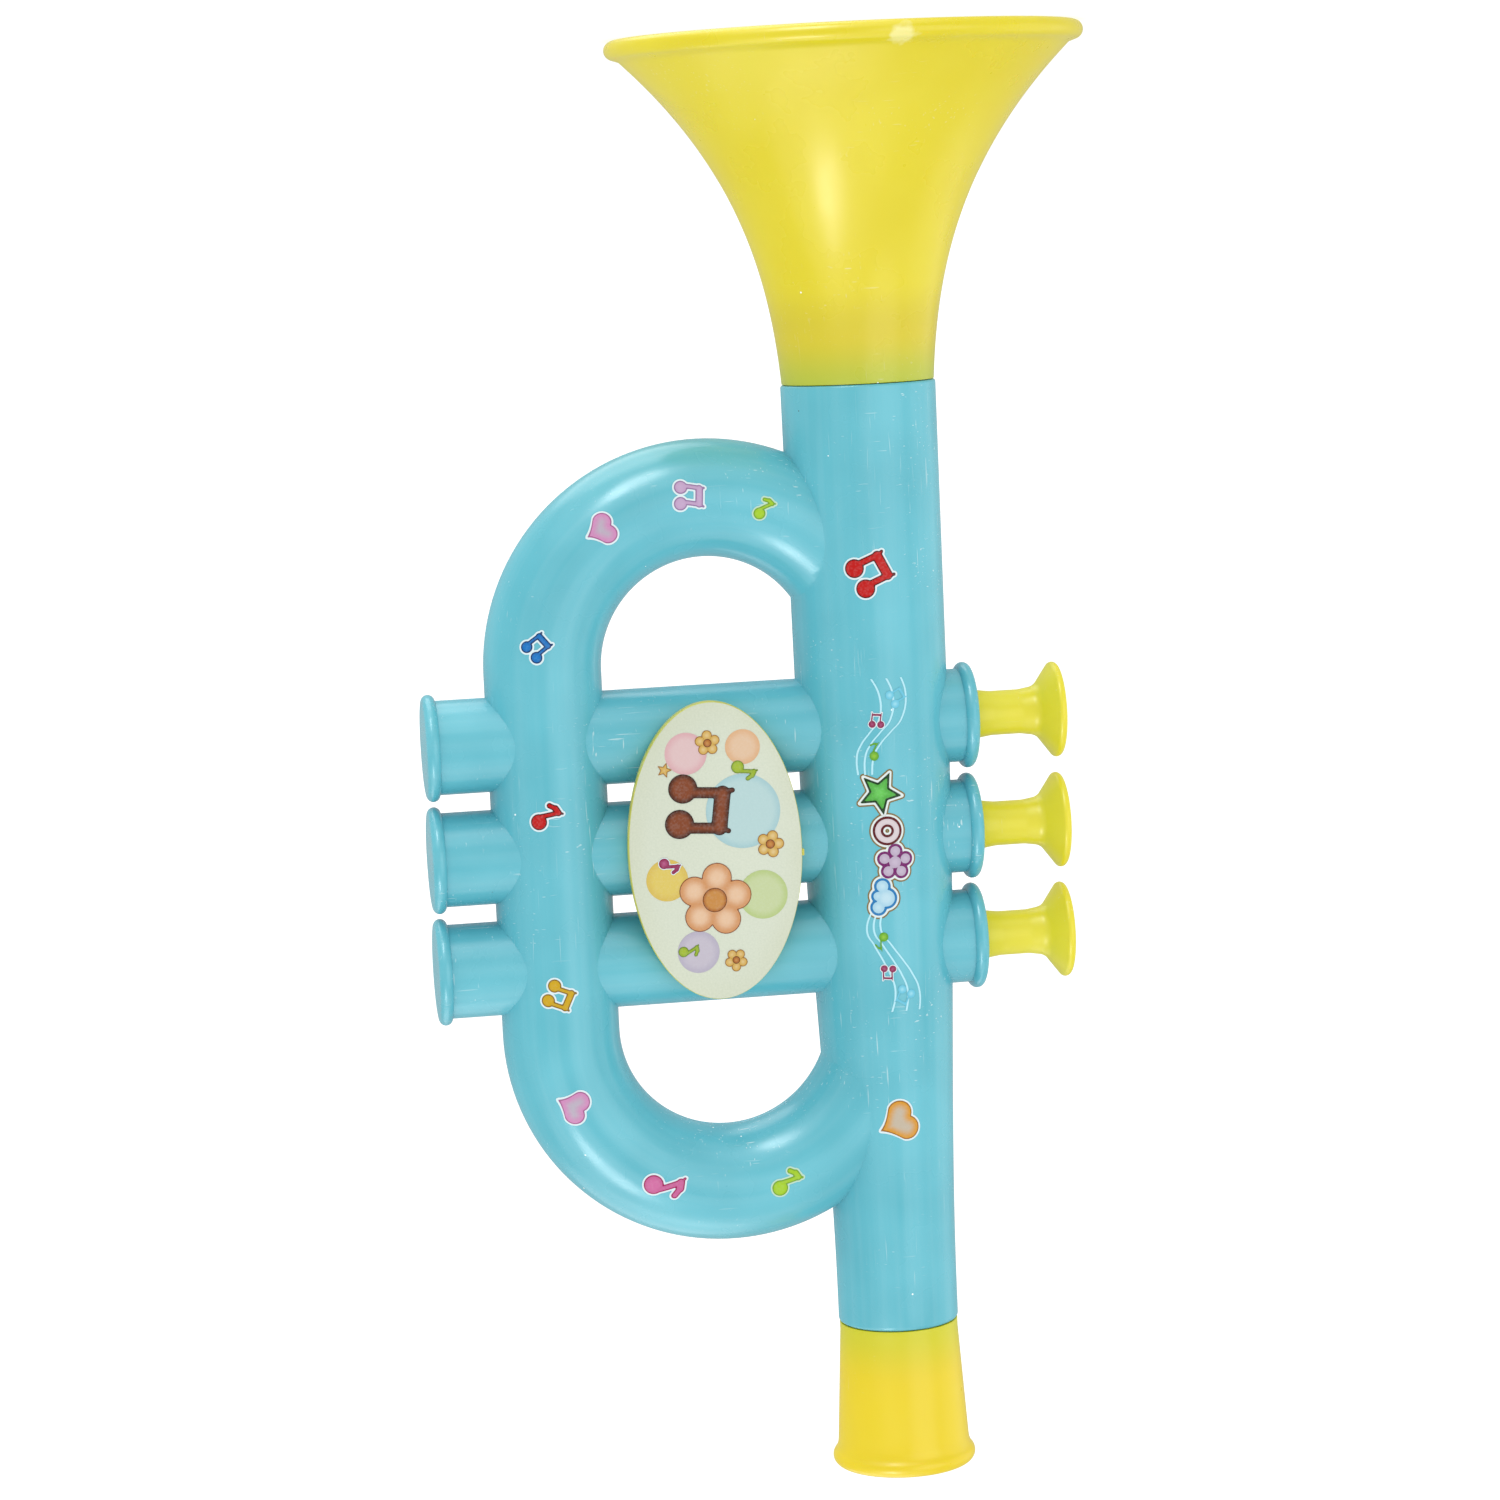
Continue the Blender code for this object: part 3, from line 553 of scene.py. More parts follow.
@dataclass(frozen=True)
class MouldedPlastic(Finish):
    """Injection-moulded plastic: cloudy colour, a faint orange peel, handling scuffs and specks."""

    colour: str
    cloud: str
    roughness: float
    subsurface: float = 0.0
    scatter: float = 2.0
    scuff: float = 0.3
    speck_share: float = 0.12
    nick_share: float = 0.1
    grain: str = ""
    fades: tuple[Fade, ...] = ()
    chafes: tuple[Chafe, ...] = ()
    ior: float = 1.5
    scatter_tint: Triple = (1.0, 0.8, 0.3)
    cloud_size: float = 16.0
    cloud_range: Pair = (0.35, 0.65)
    peel_size: float = 2.5
    peel_depth: float = 0.03
    peel_strength: float = 0.25
    sheen_size: float = 9.0
    sheen_range: Pair = (0.3, 0.7)
    scuff_patch: float = 22.0
    scuff_range: Pair = (0.5, 0.68)
    hair_width: float = 0.45
    hair_range: Pair = (0.7, 0.76)
    hair_dulling: float = 0.3
    hair_colour: str = "#F2F6F2"
    hair_ways: tuple[tuple[Triple, Triple], ...] = (
        ((0.5, 0.2, 0.4), (1.0, 1.0, 0.05)),
        ((0.1, 0.9, 1.3), (0.06, 1.0, 1.0)),
    )
    flow_stretch: Triple = (0.012, 0.42, 1.0)
    # Pale tint painted along the polish lines as the sheen they catch
    streak_sheen_colour: str = "#C4E4EA"
    flow_range: Pair = (0.42, 0.72)
    flow_amount: float = 0.06
    flow_relief: float = 0.5
    gloss_drift: Pair = (-0.05, 0.06)
    pigment: Specks = Specks(7.0, 0.022, "#3C3A36")
    nicks: Specks = Specks(4.0, 0.04, "#EEF6F4")

    def look(self, net: NodeNet, place: Socket) -> dict[str, Term]:
        """Returns what the shader's inputs take, by name.

        Args:
            net: the material's nodes.
            place: the place on the piece.

        Returns:
            A soft gloss with a slow drift of colour, broken by pale scuffs and a few specks.
        """
        # The melt's slow drift of colour
        drift = net.add(Kind.NOISE, place, 1 / (self.cloud_size * MM), 2.0)
        share = net.add(Kind.RANGE, drift, *self.cloud_range)
        colour = net.add(Kind.TINT, share, linear(self.colour), linear(self.cloud))
        peel = net.add(Kind.NOISE, place, 1 / (self.peel_size * MM), 2.0)
        if self.grain:
            # Faint lines along each tube, where the mould was polished lengthwise: a fine relief, with a
            # pale tint along the lines that is painted sheen
            flow = net.add(Kind.UV_MAP, uv_map=self.grain)
            drawn = net.add(Kind.MAPPING, flow, None, None, self.flow_stretch)
            lines = net.add(Kind.NOISE, drawn, 1.0, 3.0)
            pale = net.add(Kind.RANGE, lines, *self.flow_range, None, self.flow_amount)
            colour = net.add(Kind.TINT, pale, colour, linear(self.streak_sheen_colour))
            peel = net.add(Kind.MULTIPLY_ADD, lines, self.flow_relief, peel)
        height = net.add(Kind.SPLIT, place).node.outputs["Z"]
        # Tints along the axis: some darken a band, some are painted green light bounced from the blue tube
        for fade in self.fades:
            amount = net.add(Kind.EASED_RANGE, height, fade.start * MM, fade.end * MM, fade.amount, 0.0)
            colour = net.add(Kind.TINT, amount, colour, linear(fade.colour))

        # Hair-fine scuffs that run along and across the piece, in patches
        patch = net.add(Kind.NOISE, place, 1 / (self.scuff_patch * MM), 3.0)
        worn = net.add(Kind.RANGE, patch, *self.scuff_range, None, self.scuff)
        hairs = []
        for turn, stretch in self.hair_ways:
            along = net.add(Kind.MAPPING, place, None, turn, stretch)
            hair = net.add(Kind.NOISE, along, 1 / (self.hair_width * MM), 1.0)
            hairs.append(net.add(Kind.RANGE, hair, *self.hair_range))
        scuffs = net.add(Kind.MULTIPLY, net.add(Kind.MAXIMUM, *hairs), worn)
        colour = net.add(Kind.TINT, scuffs, colour, linear(self.hair_colour))
        for chafe in self.chafes:
            reach = chafe.reach * MM
            far = net.add(Kind.DISTANCE, place, tuple(part * MM for part in chafe.place))
            grit = net.add(Kind.NOISE, place, 1 / (chafe.grit * MM), 4.0)
            ragged = net.add(Kind.MULTIPLY_ADD, grit, chafe.raggedness * reach, far)
            low, high = (part * reach for part in chafe.edge)
            amount = net.add(Kind.RANGE, ragged, low, high, chafe.amount, 0.0)
            colour = net.add(Kind.TINT, amount, colour, linear(chafe.colour))

        # Specks of burnt pigment and pale nicks, about 0.3 mm across
        for specks, odds in ((self.pigment, self.speck_share), (self.nicks, self.nick_share)):
            far = net.add(Kind.CELLS, place, 1 / (specks.cell * MM))
            chance = net.add(Kind.SPLIT_COLOUR, far.node.outputs["Color"])
            near, picked = net.add(Kind.LESS_THAN, far, specks.reach), net.add(Kind.LESS_THAN, chance, odds)
            colour = net.add(Kind.TINT, net.add(Kind.MULTIPLY, near, picked), colour, linear(specks.colour))

        # Gloss that wanders a little and dulls in the scuffs, over an orange peel a few microns deep
        sheen = net.add(Kind.NOISE, place, 1 / (self.sheen_size * MM), 3.0)
        least, most = (self.roughness + change for change in self.gloss_drift)
        gloss = net.add(Kind.RANGE, sheen, *self.sheen_range, least, most)
        return {
            "Base Color": colour,
            "Roughness": net.add(Kind.MULTIPLY_ADD, scuffs, self.hair_dulling, gloss),
            "Normal": net.add(Kind.BUMP, self.peel_strength, self.peel_depth * MM, None, peel),
            "IOR": self.ior,
            "Subsurface Weight": self.subsurface,
            "Subsurface Radius": self.scatter_tint,
            "Subsurface Scale": self.scatter * MM,
        }


@dataclass(frozen=True)
class CoatedPaper(Finish):
    """Coated label paper: fine fibres under a satin coat, a little browned towards the edge."""

    colour: str
    aged: str
    middle: Pair
    half_size: Pair
    rim_range: Pair = (0.72, 1.02)
    rim_amount: float = 0.75
    blotch_size: float = 9.0
    fibre_size: float = 0.35
    fibre_depth: float = 0.02
    fibre_strength: float = 0.2
    fibre_range: Pair = (0.3, 0.7)
    fibre_amount: float = 0.12
    fibre_colour: str = "#FBF9EC"
    gloss: Pair = (0.34, 0.5)

    def look(self, net: NodeNet, place: Socket) -> dict[str, Term]:
        """Returns what the shader's inputs take, by name.

        Args:
            net: the material's nodes.
            place: the place on the piece.

        Returns:
            A satin cream with a faint fibre mottle and a warmer rim.
        """
        wide, tall = self.half_size
        shift = (-self.middle[0] / wide, 0.0, -self.middle[1] / tall)
        centred = net.add(Kind.MAPPING, place, shift, None, (1 / (wide * MM), 0.0, 1 / (tall * MM)))
        out = net.add(Kind.LENGTH, centred)
        rim = net.add(Kind.EASED_RANGE, out, *self.rim_range, None, self.rim_amount)
        blotch = net.add(Kind.NOISE, place, 1 / (self.blotch_size * MM), 4.0)
        aged = net.add(Kind.MULTIPLY, rim, blotch)
        colour = net.add(Kind.TINT, aged, linear(self.colour), linear(self.aged))
        fibres = net.add(Kind.NOISE, place, 1 / (self.fibre_size * MM), 3.0)
        mottle = net.add(Kind.RANGE, fibres, *self.fibre_range, None, self.fibre_amount)
        return {
            "Base Color": net.add(Kind.TINT, mottle, colour, linear(self.fibre_colour)),
            "Roughness": net.add(Kind.RANGE, blotch, None, None, *self.gloss),
            "Normal": net.add(Kind.BUMP, self.fibre_strength, self.fibre_depth * MM, None, fibres),
        }


@dataclass(frozen=True)
class PadPrintInk(Finish):
    """Pad-printed ink: the colour comes from the film's own attribute, with a thin, uneven lay."""

    attribute: str = "ink"
    lay_size: float = 0.4
    lay_depth: float = 0.01
    lay_strength: float = 0.2
    thin_colour: str = "#DCE9EC"
    thin_range: Pair = (0.45, 0.75)
    thin_amount: float = 0.06
    gloss: Pair = (0.3, 0.48)
    specular: float = 0.15

    def look(self, net: NodeNet, place: Socket) -> dict[str, Term]:
        """Returns what the shader's inputs take, by name.

        Args:
            net: the material's nodes.
            place: the place on the piece.

        Returns:
            A satin ink whose colour thins a little in fine patches.
        """
        ink = net.add(Kind.ATTRIBUTE, attribute_name=self.attribute)
        lay = net.add(Kind.NOISE, place, 1 / (self.lay_size * MM), 3.0)
        thin = net.add(Kind.RANGE, lay, *self.thin_range, None, self.thin_amount)
        return {
            "Base Color": net.add(Kind.TINT, thin, ink, linear(self.thin_colour)),
            "Roughness": net.add(Kind.RANGE, lay, None, None, *self.gloss),
            "Normal": net.add(Kind.BUMP, self.lay_strength, self.lay_depth * MM, None, lay),
            "Specular IOR Level": self.specular,
        }


@dataclass(frozen=True)
class DrawnSteel(Finish):
    """Drawn steel wire or strip: bright metal with fine lines along the draw."""

    colour: str
    draw: Triple
    line_width: float = 0.12
    line_depth: float = 0.01
    line_strength: float = 0.25
    oil_colour: str = "#8C8A84"
    gloss: Pair = (0.2, 0.42)

    def look(self, net: NodeNet, place: Socket) -> dict[str, Term]:
        """Returns what the shader's inputs take, by name.

        Args:
            net: the material's nodes.
            place: the place on the piece.

        Returns:
            A bright metal with fine draw lines and a thin oily tint.
        """
        along = net.add(Kind.MAPPING, place, None, None, self.draw)
        lines = net.add(Kind.NOISE, along, 1 / (self.line_width * MM), 3.0)
        return {
            "Base Color": net.add(Kind.TINT, lines, linear(self.colour), linear(self.oil_colour)),
            "Roughness": net.add(Kind.RANGE, lines, None, None, *self.gloss),
            "Normal": net.add(Kind.BUMP, self.line_strength, self.line_depth * MM, None, lines),
            "Metallic": 1.0,
        }


@dataclass(frozen=True)
class LitPaper(Finish):
    """The studio's white paper, lit from behind so that hardly any shadow shows on it."""

    name: str = "lit_studio_paper"
    colour: str = "#7A7A7A"
    glow: float = 0.8
    roughness: float = 0.9
    specular: float = 0.1
    grain_size: float = 4.0
    grain_colour: str = "#808080"

    def look(self, net: NodeNet, place: Socket) -> dict[str, Term]:
        """Returns what the shader's inputs take, by name.

        Args:
            net: the material's nodes.
            place: the place on the piece.

        Returns:
            A matt white with a barely visible grain.
        """
        grain = net.add(Kind.NOISE, place, 1 / (self.grain_size * MM), 3.0)
        return {
            "Base Color": net.add(Kind.TINT, grain, linear(self.colour), linear(self.grain_colour)),
            "Roughness": self.roughness,
            "Specular IOR Level": self.specular,
            "Emission Color": WHITE,
            "Emission Strength": self.glow,
        }


@dataclass(frozen=True)
class BodyPlan:
    """Sizes of the body's tubes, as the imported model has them, and the surfaces that they give."""

    axis_x: float = -18.55
    start: float = 59.6
    end: float = 224.2
    start_r: float = 13.35
    middle_r: float = 13.12
    end_r: float = 10.5
    end_round: float = 0.8
    start_round: float = 0.45
    taper_start: float = 60.4
    taper_length: float = 100.0
    loop_middle: float = 137.6
    leg_spacing: float = 56.9
    leg_straight: float = 62.5
    loop_r: float = 10.1
    valve_pitch: float = 19.4
    valve_r: float = 8.1
    collar_reach: float = 17.4
    stub_reach: float = 77.9
    flange_rise: float = 1.1
    bead_r: float = 1.15
    wall: float = 1.6
    fit: float = 0.3
    grain_gap: float = 500.0

    @property
    def bend_r(self) -> float:
        """Radius of the loop's bends, on the centreline."""
        return self.leg_spacing / 2

    @property
    def valve_heights(self) -> tuple[float, ...]:
        """Heights of the three valve tubes."""
        return tuple(self.loop_middle + step * self.valve_pitch for step in (-1, 0, 1))

    @property
    def window_middle(self) -> float:
        """How far the middle of the loop's window lies from the main tube's axis."""
        return (float(self.tube_radius(self.loop_middle)) + self.leg_spacing - self.loop_r) / 2

    def tube_radius(self, height: np.ndarray | float) -> np.ndarray:
        """Returns the main tube's outer radius at some heights.

        Args:
            height: the heights.

        Returns:
            One radius for each.
        """
        along = np.asarray(height, dtype=float) - self.start
        cone = self.start_r + (self.middle_r - self.start_r) * along / self.taper_start
        share = np.clip((along - self.taper_start) / self.taper_length, 0.0, 1.0)
        eased = share * share * (3.0 - 2.0 * share)
        taper = self.middle_r + (self.end_r - self.middle_r) * eased
        return np.where(along < self.taper_start, cone, taper)

    def distances(self, points: np.ndarray) -> tuple[np.ndarray, np.ndarray, np.ndarray]:
        """Returns how far points lie outside the main tube, the loop and the nearest valve tube.

        Args:
            points: places in the model's frame.

        Returns:
            Three arrays of distances, negative inside.
        """
        x, y, z = points[:, 0] - self.axis_x, points[:, 1], points[:, 2]
        main = np.hypot(x, y) - self.tube_radius(z)
        past = np.maximum(np.abs(z - self.loop_middle) - self.leg_straight / 2, 0.0)
        loop = np.hypot(np.hypot(x - self.bend_r, past) - self.bend_r, y) - self.loop_r
        valves = np.min([np.hypot(y, z - height) for height in self.valve_heights], axis=0) - self.valve_r
        return main, loop, valves

    def solid(self, name: str, form: Form) -> bpy.types.Object:
        """Makes a solid whose points are measured from the main tube's axis."""
        points, faces = form
        return new_object(name, (points + np.array([self.axis_x, 0.0, 0.0]), faces))

    def grain(self, points: np.ndarray, owner: np.ndarray, side: int) -> np.ndarray:
        """Returns lengths along and round the tube that each point lies on.

        Args:
            points: places in the model's frame.
            owner: 0 for the main tube, 1 for the loop, 2 for a valve tube and 3 for its flat end.
            side: -1 for the front half and 1 for the back.

        Returns:
            One pair for each point.
        """
        x, out, rise = points[:, 0] - self.axis_x, side * points[:, 1], points[:, 2] - self.loop_middle
        past = np.maximum(np.abs(rise) - self.leg_straight / 2, 0.0)
        turn = np.arctan2(past, x - self.bend_r)
        along_loop = np.where(past > 0, np.sign(rise) * (self.leg_straight / 2 + self.bend_r * turn), rise)
        off_loop = np.hypot(x - self.bend_r, past) - self.bend_r
        off_valve = rise - self.valve_pitch * np.clip(np.round(rise / self.valve_pitch), -1, 1)
        gap = self.grain_gap
        along = np.choose(owner, [rise, along_loop + gap, x + 2 * gap, out + 3 * gap])
        around = np.choose(
            owner,
            [
                self.middle_r * np.arctan2(x, out),
                self.loop_r * np.arctan2(off_loop, out),
                self.valve_r * np.arctan2(off_valve, out),
                rise,
            ],
        )
        return np.column_stack([along, around])


@dataclass
class BlueBody:
    """The body's two halves: main tube, loop and valve tubes, hollow, with crisp creases."""

    plan: BodyPlan
    finish: MouldedPlastic
    tube_sides: int = 120
    loop_sides: int = 96
    valve_sides: int = 84
    hollow_sides: int = 64
    bore_sides: int = 48
    bend_steps: int = 72
    leg_steps: int = 42
    hollow_rows: int = 60
    row: float = 2.6
    bead_steps: int = 10
    seam_gap: float = 0.01
    groove_width: float = 0.25
    groove_depth: float = 0.15
    stem_hole_r: float = 4.5
    rib_place: float = 2.0
    rib_thickness: float = 1.6
    rib_margin: float = 7.0
    spring_peg_r: float = 2.6
    spring_peg_length: float = 3.0
    pin_angles: Pair = (20.0, 90.0)
    pin_boss_r: float = 2.6
    pin_r: float = 1.3
    pin_length: float = 3.0
    pin_sides: int = 24
    peg_r: float = 1.5
    peg_length: float = 3.6
    overrun: float = 2.0
    skin: float = 0.05
    flat: float = 0.001
    probe: float = 0.02
    end_skin: float = 0.01

    def build(self) -> None:
        """Makes both halves, dresses them and hands them to the frame."""
        plan = self.plan
        outside, inside = self.outside(), self.inside()
        material = self.finish.material()
        for node, side in (("front_shell", -1), ("back_shell", 1)):
            near, far = side * self.seam_gap / 2, side * (plan.start_r + self.overrun)
            low = (-plan.collar_reach - self.overrun, min(near, far), plan.start - self.overrun)
            high = (plan.stub_reach + self.overrun, max(near, far), plan.end + self.overrun)
            half = plan.solid(f"{node}_moulding", block(low, high))
            combine(half, outside, Join.KEEP, again=True)
            combine(half, inside, Join.CUT, again=True)
            if side < 0:
                self.bars(half, "pin", self.pin_r, self.pins(-self.pin_length, self.pin_length), Join.ADD)
                outer, inner = -plan.valve_r - self.overrun, self.peg_length + plan.fit - plan.valve_r
                places = [(plan.window_middle, height) for height in plan.valve_heights[::2]]
                holes = [((across, outer, height), (across, inner, height)) for across, height in places]
                self.bars(half, "peg_hole", self.peg_r + plan.fit, holes, Join.CUT)
            else:
                sockets = self.pins(-self.overrun, self.pin_length + plan.fit)
                self.bars(half, "socket", self.pin_r + plan.fit, sockets, Join.CUT)
            self.ease_seam(half, near)
            self.lay_grain(half, side)
            finish_piece(half, material, nodes=[node])
        bpy.data.objects.remove(outside)
        bpy.data.objects.remove(inside)

    def bars(self, solid: bpy.types.Object, name: str, radius: float, ends: list[Ends], join: Join) -> None:
        """Adds round bars to a solid, or cuts them out of it.

        Args:
            solid: the solid.
            name: what the bars are.
            radius: their radius.
            ends: both ends of each, from the main tube's axis.
            join: how they are combined with the solid.
        """
        for start, end in ends:
            bar = self.plan.solid(name, cylinder(radius, start, end, self.pin_sides))
            combine(solid, bar, join)

    def pins(self, front: float, back: float) -> list[Ends]:
        """Returns the ends of bars where the locating pins stand.

        Args:
            front: where in Y each bar starts.
            back: where it ends.

        Returns:
            Both ends of each bar, from the main tube's axis.
        """
        plan = self.plan
        ends = []
        for angle in np.radians(self.pin_angles):
            across = plan.bend_r + plan.bend_r * math.cos(angle)
            rise = plan.leg_straight / 2 + plan.bend_r * math.sin(angle)
            for height in (plan.loop_middle - rise, plan.loop_middle + rise):
                ends.append(((across, front, height), (across, back, height)))
        return ends

    def tube_rows(self, low: float, high: float) -> list[float]:
        """Returns evenly spaced heights between two heights, from the top down."""
        return np.linspace(high, low, math.ceil((high - low) / self.row) + 1).tolist()

    def valve_form(self, profile: Profile, height: float, sides: int) -> Form:
        """Returns a profile turned about a valve tube's axis.

        Args:
            profile: its points, whose heights run from the collar to the stub.
            height: the height of the valve tube.
            sides: how many facets go round.

        Returns:
            Points and faces.
        """
        points, faces = turned(profile, sides, False)
        place = Matrix.Translation((0.0, 0.0, height)) @ Matrix.Rotation(math.pi / 2, 4, "Y")
        return moved(points, place), faces

    def loop_tube(self, name: str, radius: float, sides: int) -> bpy.types.Object:
        """Makes a round tube along the loop's centreline.

        Args:
            name: the solid's name.
            radius: the tube's radius.
            sides: how many facets go round.

        Returns:
            A closed solid whose ends lie inside the main tube.
        """
        plan = self.plan
        half = plan.leg_straight / 2
        bend = plan.bend_r
        turns = np.linspace(0.0, math.pi, self.bend_steps + 1)
        leg = np.linspace(-half, half, self.leg_steps + 1)[1:-1]
        low = [(bend - bend * math.cos(turn), 0.0, -half - bend * math.sin(turn)) for turn in turns]
        high = [(x, y, -z) for x, y, z in reversed(low)]
        path = [(0.0, 0.0, -half + self.overrun), *low]
        path += [(plan.leg_spacing, 0.0, float(z)) for z in leg]
        path += [*high, (0.0, 0.0, half - self.overrun)]
        guide = plan.solid(name, (np.array(path) + np.array([0.0, 0.0, plan.loop_middle]), []))
        guide.data.edges.add(len(path) - 1)
        guide.data.edges.foreach_set("vertices", [end for i in range(len(path) - 1) for end in (i, i + 1)])
        rule = ShapeRule("bent_tube", {"Radius": radius * MM, "Sides": sides, "Material": None})
        line = rule.add(Kind.MESH_TO_CURVE, rule.given["Geometry"])
        rule.close(rule.tube(line, rule.given["Radius"], rule.given["Sides"]))
        rule.run(guide)
        return guide

    def outside(self) -> bpy.types.Object:
        """Makes the outer form: the main tube, the loop and the valve tubes joined.

        Returns:
            One closed solid.
        """
        plan = self.plan
        top = (plan.end_r - plan.end_round, plan.end - plan.end_round)
        bottom = (plan.start_r - plan.start_round, plan.start + plan.start_round)
        profile: Profile = [(0.0, plan.end), (0.5 * plan.end_r, plan.end)]
        profile += arc(top, plan.end_round, 90, 0, 8)
        rows = self.tube_rows(plan.start + plan.start_round, plan.end - plan.end_round)
        profile += [(float(plan.tube_radius(height)), height) for height in rows[1:-1]]
        profile += arc(bottom, plan.start_round, 0, -90, 6)
        profile += [(0.5 * plan.start_r, plan.start), (0.0, plan.start)]
        body = plan.solid("body_outside", turned(profile, self.tube_sides, False))
        combine(body, self.loop_tube("loop_outside", plan.loop_r, self.loop_sides), Join.ADD)
        for height in plan.valve_heights:
            tube = self.valve_form(self.valve_profile(), height, self.valve_sides)
            combine(body, plan.solid("valve_outside", tube), Join.ADD)
        return body

    def valve_profile(self) -> Profile:
        """Returns the profile of a valve tube with a beaded flange on each end.

        Returns:
            The profile's points, from the stub to the collar.
        """
        plan = self.plan
        bead = plan.valve_r + plan.flange_rise - plan.bead_r
        profile: Profile = [(0.0, plan.stub_reach), (0.5 * plan.valve_r, plan.stub_reach)]
        profile += arc((bead, plan.stub_reach - plan.bead_r), plan.bead_r, 90, -80, self.bead_steps)
        inner = (plan.stub_reach - 2 * plan.bead_r, 2 * plan.bead_r - plan.collar_reach)
        profile += [(plan.valve_r, place) for place in self.tube_rows(inner[1], inner[0])]
        profile += arc((bead, plan.bead_r - plan.collar_reach), plan.bead_r, 80, -90, self.bead_steps)
        return profile + [(0.5 * plan.valve_r, -plan.collar_reach), (0.0, -plan.collar_reach)]

    def ease_seam(self, half: bpy.types.Object, seam: float) -> None:
        """Presses the outer edge of one half in, so that the halves meet in a fine groove.

        Args:
            half: the half.
            seam: where its flat face lies in Y.
        """
        form = bmesh.new()
        form.from_mesh(half.data)
        bmesh.ops.bisect_plane(
            form,
            geom=[*form.verts, *form.edges, *form.faces],
            dist=1e-7,
            plane_co=(0.0, (seam + math.copysign(self.groove_width, seam)) * MM, 0.0),
            plane_no=(0.0, 1.0, 0.0),
        )
        form.verts.ensure_lookup_table()
        points = np.array([vert.co for vert in form.verts]) / MM
        outer = np.abs(np.min(self.plan.distances(points), axis=0)) < self.skin
        rim = np.flatnonzero(outer & (np.abs(points[:, 1] - seam) < self.flat))
        step = self.probe
        for axis in (0, 2):
            shift = np.zeros(3)
            shift[axis] = step
            after = np.min(self.plan.distances(points[rim] + shift), axis=0)
            before = np.min(self.plan.distances(points[rim] - shift), axis=0)
            for index, slope in zip(rim, (after - before) / (2 * step)):
                form.verts[index].co[axis] -= self.groove_depth * slope * MM
        form.to_mesh(half.data)
        form.free()

    def lay_grain(self, half: bpy.types.Object, side: int) -> None:
        """Gives a half a UV map in millimetres: U runs along each of its tubes, and V round it.

        Args:
            half: the half.
            side: -1 for the front and 1 for the back.
        """
        plan, mesh = self.plan, half.data
        corners, totals = read(mesh.loops, "vertex_index"), read(mesh.polygons, "loop_total")
        middles = read(mesh.polygons, "center").reshape(-1, 3) / MM
        owner = np.argmin(np.abs(plan.distances(middles)), axis=0)
        reach = middles[:, 0] - plan.axis_x
        owner[(reach > plan.stub_reach - self.end_skin) | (reach < self.end_skin - plan.collar_reach)] = 3
        places = read(mesh.vertices, "co").reshape(-1, 3)[corners] / MM
        grain = plan.grain(places, np.repeat(owner, totals), side)
        layer = mesh.uv_layers.new(name=self.finish.grain)
        layer.data.foreach_set("uv", grain.astype(np.float32).ravel())

    def inside(self) -> bpy.types.Object:
        """Makes the hollow, less the ribs, spring pegs and pin bosses that stand in it.

        Returns:
            One closed solid.
        """
        plan = self.plan
        high, low = plan.end + self.overrun, plan.start - self.overrun
        profile: Profile = [(0.0, high), (plan.end_r - plan.wall, high)]
        rows = np.linspace(plan.end - plan.end_round, plan.start + 1, self.hollow_rows)
        profile += [(float(plan.tube_radius(height)) - plan.wall, float(height)) for height in rows]
        profile += [(plan.start_r - plan.wall, low), (0.0, low)]
        hollow = plan.solid("body_inside", turned(profile, self.hollow_sides, False))
        combine(hollow, self.loop_tube("loop_inside", plan.loop_r - plan.wall, self.bore_sides), Join.ADD)
        bore = plan.valve_r - plan.wall
        far, near = plan.stub_reach - plan.wall, plan.wall - plan.collar_reach
        out = -plan.collar_reach - self.overrun
        steps: Profile = [(0.0, far), (bore, far), (bore, near), (self.stem_hole_r, near)]
        steps += [(self.stem_hole_r, out), (0.0, out)]
        for height in plan.valve_heights:
            tube = self.valve_form(steps, height, self.bore_sides)
            combine(hollow, plan.solid("valve_bore", tube), Join.ADD)
        rib_end = self.rib_place + self.rib_thickness
        low_corner = (self.rib_place, -plan.start_r, plan.valve_heights[0] - self.rib_margin)
        high_corner = (rib_end, plan.start_r, plan.valve_heights[-1] + self.rib_margin)
        combine(hollow, plan.solid("spring_rib", block(low_corner, high_corner)), Join.CUT)
        tip, root = self.rib_place - self.spring_peg_length, self.rib_place + self.rib_thickness / 2
        pegs = [((tip, 0.0, height), (root, 0.0, height)) for height in plan.valve_heights]
        self.bars(hollow, "spring_peg", self.spring_peg_r, pegs, Join.CUT)
        self.bars(hollow, "pin_boss", self.pin_boss_r, self.pins(-plan.loop_r, plan.loop_r), Join.CUT)
        return hollow


